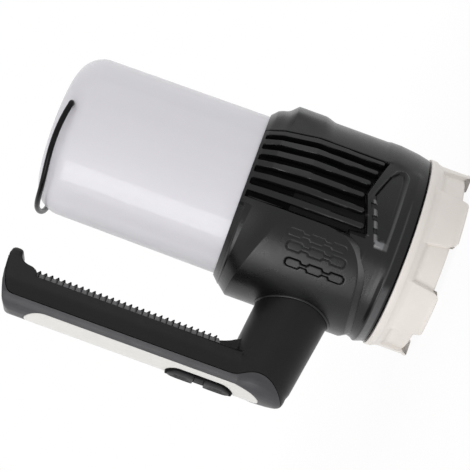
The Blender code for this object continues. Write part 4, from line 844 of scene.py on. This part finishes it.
def ringColumns():
    # turns round the ring, close together beside the tabs' walls, and how far each is from a tab's middle
    count, pitch = headRing["tabs"], 360.0 / headRing["tabs"]
    near = spaced(headRing["backHalf"] - 0.8, headRing["frontHalf"] + 3.8, 0.22)
    offsets = [-offset for offset in near[::-1]] + spaced(-near[0], near[0], 2.2)[1:-1] + near
    offsets += spaced(near[-1], pitch - near[-1], 2.2)[1:-1]
    middles = [headRing["firstTab"] + pitch * (tab + 0.5) for tab in range(count)]
    turns = [middle + offset for middle in middles for offset in offsets]
    away = [abs(offset) if offset <= pitch / 2 else pitch - offset for offset in offsets]
    return np.array(turns), np.array(away * count)


def buildHeadRing():
    tab, recess = ringSections()
    turns, away = ringColumns()
    z = tab[:, 1][:, None]
    halfAngle = along(z, [(0.0, headRing["frontHalf"]), (15.7, headRing["backHalf"])])
    past = math.radians(1.0) * (away[None, :] - halfAngle) * headRing["wallRadius"]
    corner = headRing["cornerRadius"]
    past = past - (corner - np.sqrt(corner ** 2 - (corner - np.clip(z, 0.0, corner)) ** 2))
    share = ramp(past, -0.5 * headRing["wall"], 0.5 * headRing["wall"])
    radius = recess[:, 0][:, None] * (1.0 - share) + tab[:, 0][:, None] * share
    height = recess[:, 1][:, None] * (1.0 - share) + z * share
    mesh = gridMesh("headRingSkin", around(radius, turns[None, :], height), True, True)
    addPiece("headRingSkin", mesh, "ringCream", "lamp", ["head_ring"], crease=40.0)
    print("head ring", len(mesh.polygons))


buildHeadRing()

# Grip: bar with an up-turned tip, round post and rounded toe, moulded into one and parted along the seam

# section: (depth, half width); post: (depth, height, radius) of both ends; web and tailWrap: (depth, height)
# toe: (depth, half width, half length)
grip = dict(
    section=[(73.0, 6.6), (75.0, 9.0), (78.0, 11.2), (86.0, 13.7), (91.0, 15.3), (93.0, 15.5), (99.1, 15.5),
             (101.6, 13.8), (103.4, 11.8), (104.9, 8.7), (105.9, 5.3), (106.5, 0.0)],
    post=((48.0, 65.6, 20.3), (100.0, 73.5, 18.8)), toeZ=73.6,
    toe=[(88.3, 18.7, 18.7), (95.0, 18.5, 18.7), (98.9, 17.9, 18.6), (101.2, 16.6, 18.4),
         (103.2, 14.2, 18.0), (104.6, 11.4, 17.3), (105.5, 8.6, 16.2), (106.1, 5.4, 14.0),
         (106.3, 2.6, 10.0)],
    web=[(88.0, 84.0), (78.4, 84.0), (78.9, 88.4), (79.7, 90.4), (81.0, 92.4), (82.4, 95.6), (83.5, 99.0),
         (88.0, 99.6)],
    tailWrap=[(72.0, 218.8), (76.0, 218.2), (79.7, 217.5), (84.6, 216.6), (89.0, 215.4), (93.8, 213.7),
              (96.4, 212.3), (98.0, 211.0), (98.9, 209.4), (99.2, 207.5)],
    seam=99.1, seamRise=4.2, seamFall=8.1, seamGap=0.4, voxel=0.55, smoothing=8, plateWidth=60.0,
    stripHalf=11.6, stripFront=68.3, stripBack=199.6, stripRoom=0.22, bedDepth=102.3,
    crownRadius=24.0, crown=106.5,
)


def crownDepth(y):
    radius = grip["crownRadius"]
    return grip["crown"] - (radius - np.sqrt(radius ** 2 - np.clip(np.abs(y), 0, 20.0) ** 2))


def gripOutline():
    # the bar seen from the side, as (depth, z): crown side, tail, tip, then the inner side back to the post
    outline = [(86.0, 73.5), (106.5, 73.5)] + arc(99.5, 206.4, 7.0, 0.0, 68.0, 10)
    outline += [(94.0, 215.6), (88.6, 216.7), (79.0, 218.0)] + arc(75.4, 215.5, 2.3, 75.0, 180.0, 6)
    outline += arc(75.4, 213.6, 2.3, 180.0, 250.0, 6)
    outline += [(77.9, 210.9), (80.0, 209.2), (81.0, 206.6), (81.4, 203.6), (82.6, 201.2), (84.2, 200.0),
                (86.0, 199.6)]
    return outline


def seamDepth(z):
    rise = np.sin(np.clip((88.0 - z) / 14.5, 0.0, 1.0) * math.pi / 2) ** 2 * grip["seamRise"]
    fall = np.clip((73.5 - z) / 16.0, 0.0, 1.0) ** 2 * grip["seamFall"]
    return grip["seam"] - rise + fall


def seamCutter(name, shift):
    # everything on the crown side of the seam, moved by shift
    # at the tail the cover wraps round the end of the bar
    line = [(60.0, 219.0)] + [(depth + shift, z + 0.7 * shift) for depth, z in grip["tailWrap"]]
    line += [(float(seamDepth(z)) + shift, z) for z in spaced(57.5, 88.0, 0.8)[::-1]]
    line += [(104.8 + shift, 56.0), (106.6 + shift, 54.4), (107.0 + shift, 40.0)]
    line += [(130.0, 40.0), (130.0, 230.0), (60.0, 230.0)]
    return flatPlate(name, line, grip["plateWidth"], sidePlane())


def postPlace():
    (startDepth, startZ, _), (endDepth, endZ, _) = grip["post"]
    way = Vector((-(endDepth - startDepth), 0.0, endZ - startZ))
    turn = way.to_track_quat("Z", "Y").to_matrix().to_4x4()
    return Matrix.Translation(((lampX - startDepth) * mm, 0.0, startZ * mm)) @ turn, way.length


def gripBodies():
    section = [(wide, depth) for depth, wide in grip["section"]]
    section += [(-wide, depth) for wide, depth in section[::-1][1:]]
    # the section lies across: y and depth, pushed along z
    upright = Matrix(((0, -1, 0, lampX * mm), (1, 0, 0, 0), (0, 0, 1, 140.0 * mm), (0, 0, 0, 1)))
    side = flatPlate("gripSide", gripOutline(), grip["plateWidth"], sidePlane())
    bar = shaped("gripBar", flatPlate("gripBar", section, 170.0, upright), [keptInside(side)])
    place, length = postPlace()
    (_, _, startRadius), (_, _, endRadius) = grip["post"]
    profile = [(0, 0), (startRadius, 0), (endRadius + 0.1, length - 6.0), (endRadius - 0.4, length - 4.0),
               (endRadius - 1.6, length - 2.0), (endRadius - 4.0, length - 0.5), (0, length)]
    post = turnedMesh("gripPost", profile, 96, place)
    turns = np.linspace(0.0, 2.0 * math.pi, 96, endpoint=False)
    rings = []
    for depth, wide, long in grip["toe"]:
        z = grip["toeZ"] - long * np.sin(turns)
        rings.append(np.stack([lampX - depth + 0.0 * turns, wide * np.cos(turns), z], -1))
    return [bar, post, stacked("gripToe", rings), flatPlate("gripFillet", grip["web"], 17.0, sidePlane())]


def buildGrip():
    whole = fused("gripWhole", gripBodies(), grip["voxel"], grip["smoothing"])
    shell = shaped("gripShellSkin", whole.copy(), [cutBy(seamCutter("seam", 0.0), "MANIFOLD")])
    room, front, back = grip["stripRoom"], grip["stripFront"], grip["stripBack"]
    outline = capsuleOutline(grip["stripHalf"] + room, front - room, back + room, 32)
    bed = flatPlate("stripBed", outline, 20.0, gripPlane(grip["bedDepth"] + 10.0))
    inner = seamCutter("seamInner", grip["seamGap"])
    spine = shaped("gripSpineSkin", whole, [keptInside(inner, "MANIFOLD"), cutBy(bed, "MANIFOLD")])
    addPiece("gripShellSkin", shell, "gripBlack", "lamp", ["grip_shell"], crease=40.0)
    addPiece("gripSpineSkin", spine, "spineGrey", "lamp", ["grip_spine"], crease=40.0)
    print("grip", len(shell.polygons), len(spine.polygons))


buildGrip()

# Inset strip, crowned across, with a capsule opening for the buttons

# edge: (inset from the outline, rise over the grip's crown)
strip = dict(
    edge=[(0.0, -0.5), (0.1, -0.22), (0.3, -0.06), (0.7, 0.02), (1.5, 0.06), (3.0, 0.08)], rise=0.08,
    openingHalf=8.2, openingFront=82.4, openingBack=120.4,
)


def capsuleRing(size, inset, level, dome=None):
    # level is a depth, or the rise above the grip's crown where a dome is given
    half, front, back = size
    y, z = np.array(capsuleOutline(max(half - inset, 0.02), front + inset, back - inset, 32)).T
    depth = level + 0.0 * y if dome is None else crownDepth(y) + level + dome * (1.0 - (y / half) ** 2)
    return np.stack([lampX - depth, y, z], -1)


def buildStrip():
    size = (grip["stripHalf"], grip["stripFront"], grip["stripBack"])
    steps = strip["edge"] + [(inset, strip["rise"]) for inset in (5.0, 7.0, 9.0, 10.6, 11.5)]
    rings = [capsuleRing(size, 0.0, grip["bedDepth"] + 0.05)]
    rings += [capsuleRing(size, inset, rise, 0.0) for inset, rise in steps]
    outline = capsuleOutline(strip["openingHalf"], strip["openingFront"], strip["openingBack"], 32)
    opening = flatPlate("stripOpening", outline, 30.0, gripPlane(110.0))
    mesh = shaped("gripStrip", stacked("gripStrip", rings), [cutBy(opening)])
    addPiece("gripStrip", mesh, "stripWhite", "lamp", ["grip_panel"], crease=34.0)
    print("strip", len(mesh.polygons))


buildStrip()

# Capsule bezel and its two domed buttons

buttons = dict(
    frameHalf=7.9, frameFront=82.7, frameBack=120.1, frameWall=0.75, frameRise=0.75, frameFoot=102.6,
    frameDome=0.6, floor=104.6, bridge=106.4, bridgeHalf=6.9, bridgeGap=0.3,
    half=6.85, reach=108.05, foot=101.6, front=83.8, length=14.6, back=119.0, crown=0.012,
    markHalf=0.55, markShifts=(-2.6, 0.0, 2.6), markEnds=(4.0, 12.4),
)


def buildBezel():
    size = (buttons["frameHalf"], buttons["frameFront"], buttons["frameBack"])
    wall, rise = buttons["frameWall"], buttons["frameRise"]
    steps = [(0.0, rise - 0.3), (0.1, rise - 0.08), (0.28, rise), (wall - 0.25, rise),
             (wall - 0.06, rise - 0.12), (wall, rise - 0.4)]
    rings = [capsuleRing(size, 0.0, buttons["frameFoot"])]
    rings += [capsuleRing(size, inset, up, buttons["frameDome"]) for inset, up in steps]
    rings.append(capsuleRing(size, wall, buttons["floor"]))
    mesh = stacked("buttonBezel", rings)
    addPiece("buttonBezel", mesh, "bezelBlack", "lamp", ["button_frame"], crease=40.0)


def buildBridge():
    # low bridge between the buttons
    reach = buttons["length"] + buttons["bridgeGap"]
    low, high, wide = buttons["front"] + reach, buttons["back"] - reach, buttons["bridgeHalf"]
    top = buttons["bridge"]
    rows = []
    for inset, depth in ((0.0, buttons["floor"] - 0.5), (0.0, top - 0.35), (0.12, top - 0.1), (0.4, top)):
        y = np.array([inset - wide, wide - inset, wide - inset, inset - wide])
        z = np.array([low + inset, low + inset, high - inset, high - inset])
        rows.append(np.stack([lampX - depth + 0.0 * y, y, z], -1))
    mesh = stacked("buttonBridge", rows)
    addPiece("buttonBridge", mesh, "bezelBlack", "lamp", crease=30.0)


def buttonRing(inset, level, towardTail):
    # a half capsule: round at the outer end, straight at the inner one
    radius = buttons["half"] - inset
    centre = buttons["front"] + buttons["half"]
    flat = buttons["front"] + buttons["length"] - inset
    corner = radius - min(0.6, radius * 0.3)
    points = arc(0.0, centre, radius, 180.0, 360.0, 28)
    points += [(radius, centre + (flat - centre) * share) for share in (0.4, 0.8)]
    points += [(corner, flat), (-corner, flat)]
    points += [(-radius, centre + (flat - centre) * share) for share in (0.8, 0.4)]
    y, z = np.array(points).T
    if towardTail:
        z = buttons["front"] + buttons["back"] - z
        y = -y
    crown = buttons["crown"] if level > buttons["floor"] else 0.0
    depth = level - crown * y * y
    return np.stack([lampX - depth, y, z], -1)


def buildButton(name, node, body, towardTail):
    reach = buttons["reach"]
    steps = [(0.0, -0.8), (0.08, -0.45), (0.25, -0.2), (0.6, -0.06), (1.3, 0.0), (2.1, 0.0), (2.3, -0.04),
             (2.45, -0.22), (3.0, -0.24), (4.6, -0.2), (6.2, -0.18)]
    rings = [buttonRing(0.0, buttons["foot"], towardTail)]
    rings += [buttonRing(inset, reach + rise, towardTail) for inset, rise in steps]
    # three sunk finger marks
    start, end = buttons["markEnds"]
    low, high = buttons["front"] + start, buttons["front"] + end
    if towardTail:
        low, high = buttons["back"] - end, buttons["back"] - start
    outline = capsuleOutline(buttons["markHalf"], low, high, 8)
    cuts = []
    for shift in buttons["markShifts"]:
        mark = [(y + shift, z) for y, z in outline]
        cuts.append(cutBy(flatPlate(name + "Mark", mark, 4.0, gripPlane(reach + 1.6))))
    mesh = shaped(name, stacked(name, rings), cuts)
    addPiece(name, mesh, "buttonRubber", body, [node], crease=50.0)


buildBezel()
buildBridge()
buildButton("frontButtonSkin", "button_front", "front_button", False)
buildButton("rearButtonSkin", "button_rear", "rear_button", True)
print("buttons ready")

# Ribbed finger pad on the grip's inner side

# edge: (share of the half width, fall below the teeth's profile)
fingerPad = dict(
    half=10.0, foot=86.6, shoulder=85.9, base=83.0, tip=81.5,
    first=101.2, pitch=3.4, teeth=30, lean=0.55, slope=3.0,
    edge=[(1.0, 9.9), (1.0, 0.9), (0.985, 0.45), (0.95, 0.15), (0.9, 0.04), (0.8, 0.0), (0.4, 0.0)],
)


def toothProfile():
    # (z, depth) points from the pad's front end over its teeth to its tail end
    foot, base, tip, slope = (fingerPad[key] for key in ("foot", "base", "tip", "slope"))
    first, pitch, teeth, lean = (fingerPad[key] for key in ("first", "pitch", "teeth", "lean"))
    start, end = first - 1.6 - slope, first + pitch * (teeth - 1) + 1.8 + slope
    rise = [(0.0, foot), (0.1, fingerPad["shoulder"]), (slope * 0.8, base - 0.25), (slope, base - 0.3),
            (slope + 0.4, base)]
    profile = [(start + step, depth) for step, depth in rise]
    for z in [first + pitch * tooth for tooth in range(teeth)]:
        top = z - lean
        profile += [(z - 0.62, base), (z - 0.52, base - 0.2), (top - 0.42, tip + 0.25), (top - 0.26, tip),
                    (top + 0.12, tip), (top + 0.32, tip + 0.25), (z + 0.7, base - 0.2), (z + 0.85, base)]
    return profile + [(end - step, depth) for step, depth in rise[::-1]]


def buildFingerPad():
    z, depth = np.array(toothProfile()).T
    across, fall = np.array(fingerPad["edge"]).T
    across = np.concatenate([-across, [0.0], across[::-1]]) * fingerPad["half"]
    fall = np.concatenate([fall, [0.0], fall[::-1]])
    level = np.minimum(depth[:, None] + fall[None, :], fingerPad["foot"])
    points = np.stack(np.broadcast_arrays(lampX - level, across[None, :], z[:, None]), -1)
    mesh = filled(welded(gridMesh("fingerPadSkin", points)))
    addPiece("fingerPadSkin", mesh, "padRubber", "lamp", ["finger_pad"], crease=50.0)
    # painted highlight: the skin below the teeth's base, which faces the light, gets the lighter colour
    base = (lampX - fingerPad["base"] - 0.3) * mm
    setPaintedHighlight(mesh, [float(vertex.co.x < base) for vertex in mesh.vertices])
    print("finger pad", len(mesh.polygons))


buildFingerPad()

# Bead where the post leaves the barrel

bead = dict(radius=0.95, out=0.25, steps=120)


def buildBead():
    # along each line of the post's skin, halving finds where it comes out of the pad
    place, length = postPlace()
    (_, _, startRadius), (_, _, endRadius) = grip["post"]
    points = []
    for turn in np.linspace(0.0, 2.0 * math.pi, bead["steps"], endpoint=False):
        low, high = 0.0, length
        for _ in range(40):
            middle = (low + high) / 2
            radius = startRadius + (endRadius - startRadius) * middle / length + bead["out"]
            point = place @ Vector((radius * math.cos(turn) * mm, radius * math.sin(turn) * mm, middle * mm))
            outside = math.hypot(point.x - lampX * mm, point.y) > pad["radius"] * mm
            low, high = (low, middle) if outside else (middle, high)
        points.append(point)
    mesh = tubeMesh("postBead", points, bead["radius"], True)
    addPiece("postBead", mesh, "housingBlack", "lamp")


buildBead()

# Frosted tube and the wire loop over its end

diffuser = dict(foot=109.0, footRadius=45.6, tailRadius=44.8, corner=15.0, top=220.0, wall=2.4)


def buildDiffuser():
    foot, footRadius, tailRadius = (diffuser[key] for key in ("foot", "footRadius", "tailRadius"))
    corner, top, wall = (diffuser[key] for key in ("corner", "top", "wall"))
    shoulder, flat = top - corner, tailRadius - corner
    taper = [(foot, footRadius), (shoulder, tailRadius)]
    outside = [(flat * share, top) for share in (0.0, 0.5, 0.85)]
    outside += arc(flat, shoulder, corner, 90.0, 0.0, 24)
    outside += [(along(z, taper), z) for z in (180.0, 150.0, 120.0)]
    outside += [(footRadius, foot + 0.3), (footRadius - 0.3, foot)]
    inside = [(footRadius - wall, foot), (tailRadius - wall, shoulder)]
    inside += arc(flat, shoulder, corner - wall, 0.0, 90.0, 16)[1:] + [(0.0, top - wall)]
    mesh = turnedMesh("diffuserTube", outside + inside, 160)
    addPiece("diffuserTube", mesh, "diffuserFrost", "lamp", ["diffuser"], crease=40.0)


buildDiffuser()

bailWire = dict(wire=1.5, loop=46.2, pivotZ=213.0, bow=1.75, kick=2.4, pin=40.5, bend=2.2)


def buildBail():
    loop, pivotZ, bend = bailWire["loop"], bailWire["pivotZ"], bailWire["bend"]
    start = bend - loop
    ends = [(lampX, -bailWire["pin"], pivotZ), (lampX, start, pivotZ)]
    for turn in np.linspace(0.15, math.pi / 2 - 0.1, 6):
        ends.append((lampX - bend + bend * math.cos(turn), start - bend * math.sin(turn), pivotZ))
    points = list(ends)
    for turn in np.linspace(0.0, math.pi, 97):
        out = math.sin(turn)
        # the wire bows up at both sides and kicks up once more at its far end
        rise = bailWire["bow"] * math.sin(math.pi * abs(out) ** 0.9) + bailWire["kick"] * abs(out) ** 10
        points.append((lampX - bend - (loop - bend) * out, -loop * math.cos(turn), pivotZ + rise))
    points += [(x, -y, z) for x, y, z in ends[::-1]]
    mesh = tubeMesh("bailLoop", [(x * mm, y * mm, z * mm) for x, y, z in points], bailWire["wire"])
    addPiece("bailLoop", mesh, "bailEnamel", "bail_loop", ["bail"], crease=50.0)


buildBail()

# Lens and bowl behind the ring

optics = dict(lensRadius=47.5, lensFront=5.6, lensBack=7.8, mouth=43.6, neck=7.0, neckZ=34.5, flange=47.2,
              flangeFront=9.6, flangeBack=10.8, bowlWall=1.2)


def buildLens():
    rim, front, back = optics["lensRadius"], optics["lensFront"], optics["lensBack"]
    profile = [(0.0, front), (30.0, front), (rim - 0.4, front), (rim, front + 0.4), (rim, back - 0.3),
               (rim - 0.3, back), (30.0, back), (0.0, back)]
    mesh = turnedMesh("lensWindow", profile, 128)
    addPiece("lensWindow", mesh, "lensClear", "lamp", ["front_lens"], crease=30.0)


def buildBowl():
    neck, mouth, flange, wall = (optics[key] for key in ("neck", "mouth", "flange", "bowlWall"))
    front, back = optics["flangeFront"], optics["flangeBack"]
    bowl = []
    for share in np.linspace(0.0, 1.0, 22):
        bowl.append((neck + (mouth - neck) * share, front + (optics["neckZ"] - front) * (1.0 - share ** 2)))
    profile = bowl[:-1] + [(mouth, front), (flange, front), (flange, back)]
    profile += [(radius + wall * 0.4, z + wall) for radius, z in bowl[::-1] if z + wall > back]
    mesh = turnedMesh("reflectorBowl", profile, 128)
    addPiece("reflectorBowl", mesh, "mirrorCoat", "lamp", ["reflector"], crease=30.0)


buildLens()
buildBowl()
print("optics ready")

# Every solid of the frame gets a finish of its own, for where it still shows

solidSkins = dict(
    head_ring="ringCream", front_lens="lensClear", lens_seal="sealRubber", reflector="mirrorCoat",
    led_board="boardWhite", led_emitter="phosphor", heat_sink="aluminium", chassis="insideBlack",
    control_board="boardGreen", charge_port="platedSteel", port_cover="coverRubber",
    lantern_board="boardWhite", diffuser="diffuserFrost", diffuser_seal="sealRubber", bail="bailEnamel",
    grip_shell="gripBlack", grip_spine="spineGrey", grip_panel="stripWhite", finger_pad="padRubber",
    button_frame="gripBlack", switch_board="boardGreen", switch_lead="sealRubber", housing="housingBlack",
)
seriesSkins = dict(battery="cellSleeve", chassis_screw="platedSteel", grip_screw="platedSteel",
                   lantern_led="phosphor", button_="buttonRubber", switch_="insideBlack")


def dressFrame():
    for name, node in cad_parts.items():
        skin = solidSkins.get(name)
        if skin is None:
            skin = [value for start, value in seriesSkins.items() if name.startswith(start)][0]
        node.data.materials.clear()
        node.data.materials.append(skins[skin])
    print("frame dressed")


dressFrame()

# Floor, lights and camera, placed in metres

cameraSetting = dict(turn=18.0, roll=20.0, distance=0.781, lens=108.8, middleZ=0.1097, shiftRise=-0.022)
studio = dict(
    floorColour=(0.86, 0.86, 0.86), floorShow=0.94, floorFade=(0.25, 0.7), worldLight=0.84,
    middle=(lampX * mm - 0.02, 0.0, 0.11),
    boxes=dict(keySoftbox=dict(turn=-53.0, distance=0.9, size=(0.47, 0.55), power=4.2),
               fillSoftbox=dict(turn=64.0, distance=1.3, size=(1.3, 1.2), power=3.2)),
)
white = (1.0, 1.0, 1.0, 1.0)
cameraTurn = math.radians(cameraSetting["turn"])
towardCamera = Vector((-math.sin(cameraTurn), -math.cos(cameraTurn), 0.0))
pictureRise = Vector((math.cos(cameraTurn), -math.sin(cameraTurn), 0.0))
lampAxis = Vector((0.0, 0.0, 1.0))


def aimedAt(place, target, up):
    back = (place - target).normalized()
    right = up.cross(back).normalized()
    matrix = Matrix((right, back.cross(right), back)).transposed().to_4x4()
    matrix.translation = place
    return matrix


def mathNode(nodes, operation, first, second):
    node = nodes.new("ShaderNodeMath")
    node.operation = operation
    for source, target in ((first, node.inputs[0]), (second, node.inputs[1])):
        node.id_data.links.new(source, target)
    return node.outputs[0]


def mixedShader(nodes, share, first, second):
    mix = nodes.new("ShaderNodeMixShader")
    for source, target in zip((share, first, second), mix.inputs):
        mix.id_data.links.new(source, target)
    return mix.outputs[0]


def backdropShare(nodes):
    # what the camera, a mirror or glass sees is the pale backdrop itself
    rays = nodes.new("ShaderNodeLightPath").outputs
    seen = mathNode(nodes, "MAXIMUM", rays["Is Camera Ray"], rays["Is Glossy Ray"])
    return mathNode(nodes, "MAXIMUM", seen, rays["Is Transmission Ray"])


def paleSource(nodes, kind, strength):
    node = nodes.new(kind)
    node.inputs["Color"].default_value = white
    node.inputs["Strength"].default_value = strength
    return node.outputs[0]


def buildWorld():
    world = bpy.data.worlds.new("paleRoom")
    scene.world = world
    world.use_nodes = True
    nodes = world.node_tree.nodes
    nodes.clear()
    seen = paleSource(nodes, "ShaderNodeBackground", 1.0)
    light = paleSource(nodes, "ShaderNodeBackground", studio["worldLight"])
    out = nodes.new("ShaderNodeOutputWorld")
    world.node_tree.links.new(mixedShader(nodes, backdropShare(nodes), light, seen), out.inputs["Surface"])


def buildFloor():
    skin = bpy.data.materials.new("paleFloor")
    skin.use_nodes = True
    nodes, links = skin.node_tree.nodes, skin.node_tree.links
    nodes.clear()
    matt = nodes.new("ShaderNodeBsdfDiffuse")
    matt.inputs["Color"].default_value = (*studio["floorColour"], 1.0)
    # the backdrop's white takes over with distance from the object
    away = nodes.new("ShaderNodeVectorMath")
    away.operation = "LENGTH"
    links.new(nodes.new("ShaderNodeNewGeometry").outputs["Position"], away.inputs[0])
    pureness = nodes.new("ShaderNodeMapRange")
    start, end = studio["floorFade"]
    limits = {"From Min": start, "From Max": end, "To Min": studio["floorShow"], "To Max": 1.0}
    for key, value in limits.items():
        pureness.inputs[key].default_value = value
    links.new(away.outputs["Value"], pureness.inputs["Value"])
    share = mathNode(nodes, "MULTIPLY", backdropShare(nodes), pureness.outputs["Result"])
    pale = paleSource(nodes, "ShaderNodeEmission", 1.0)
    out = nodes.new("ShaderNodeOutputMaterial")
    links.new(mixedShader(nodes, share, matt.outputs[0], pale), out.inputs["Surface"])
    # gridMesh takes its points in mm, and so the disc is in mm too
    turns = np.linspace(0.0, 2.0 * math.pi, 64, endpoint=False)
    radii = np.array((1.0, 1500.0, 4000.0))[:, None]
    points = np.stack(np.broadcast_arrays(radii * np.cos(turns), radii * np.sin(turns), -0.05), -1)
    floor = looseObject("floor", gridMesh("floor", points, closeColumns=True))
    floor.data.materials.append(skin)


def buildCamera():
    data = bpy.data.cameras.new("camera")
    data.sensor_width = 36.0
    data.lens = cameraSetting["lens"]
    data.clip_start, data.clip_end = 0.01, 50.0
    camera = looseObject("camera", data)
    roll = math.radians(cameraSetting["roll"])
    up = lampAxis * math.sin(roll) + pictureRise * math.cos(roll)
    target = Vector((lampX * mm, 0.0, cameraSetting["middleZ"])) + pictureRise * cameraSetting["shiftRise"]
    camera.matrix_world = aimedAt(target + towardCamera * cameraSetting["distance"], target, up)
    scene.camera = camera


def buildLights():
    # each box stands at its own turn from the camera's direction, about the lamp's axis
    middle = Vector(studio["middle"])
    for name, box in studio["boxes"].items():
        turn = math.radians(box["turn"])
        data = bpy.data.lights.new(name, "AREA")
        data.shape = "RECTANGLE"
        data.size, data.size_y = box["size"]
        data.energy = box["power"]
        place = middle + (towardCamera * math.cos(turn) + pictureRise * math.sin(turn)) * box["distance"]
        looseObject(name, data).matrix_world = aimedAt(place, middle, lampAxis)


buildWorld()
buildFloor()
buildCamera()
buildLights()
scene.view_settings.view_transform = "Standard"
print("stage ready")
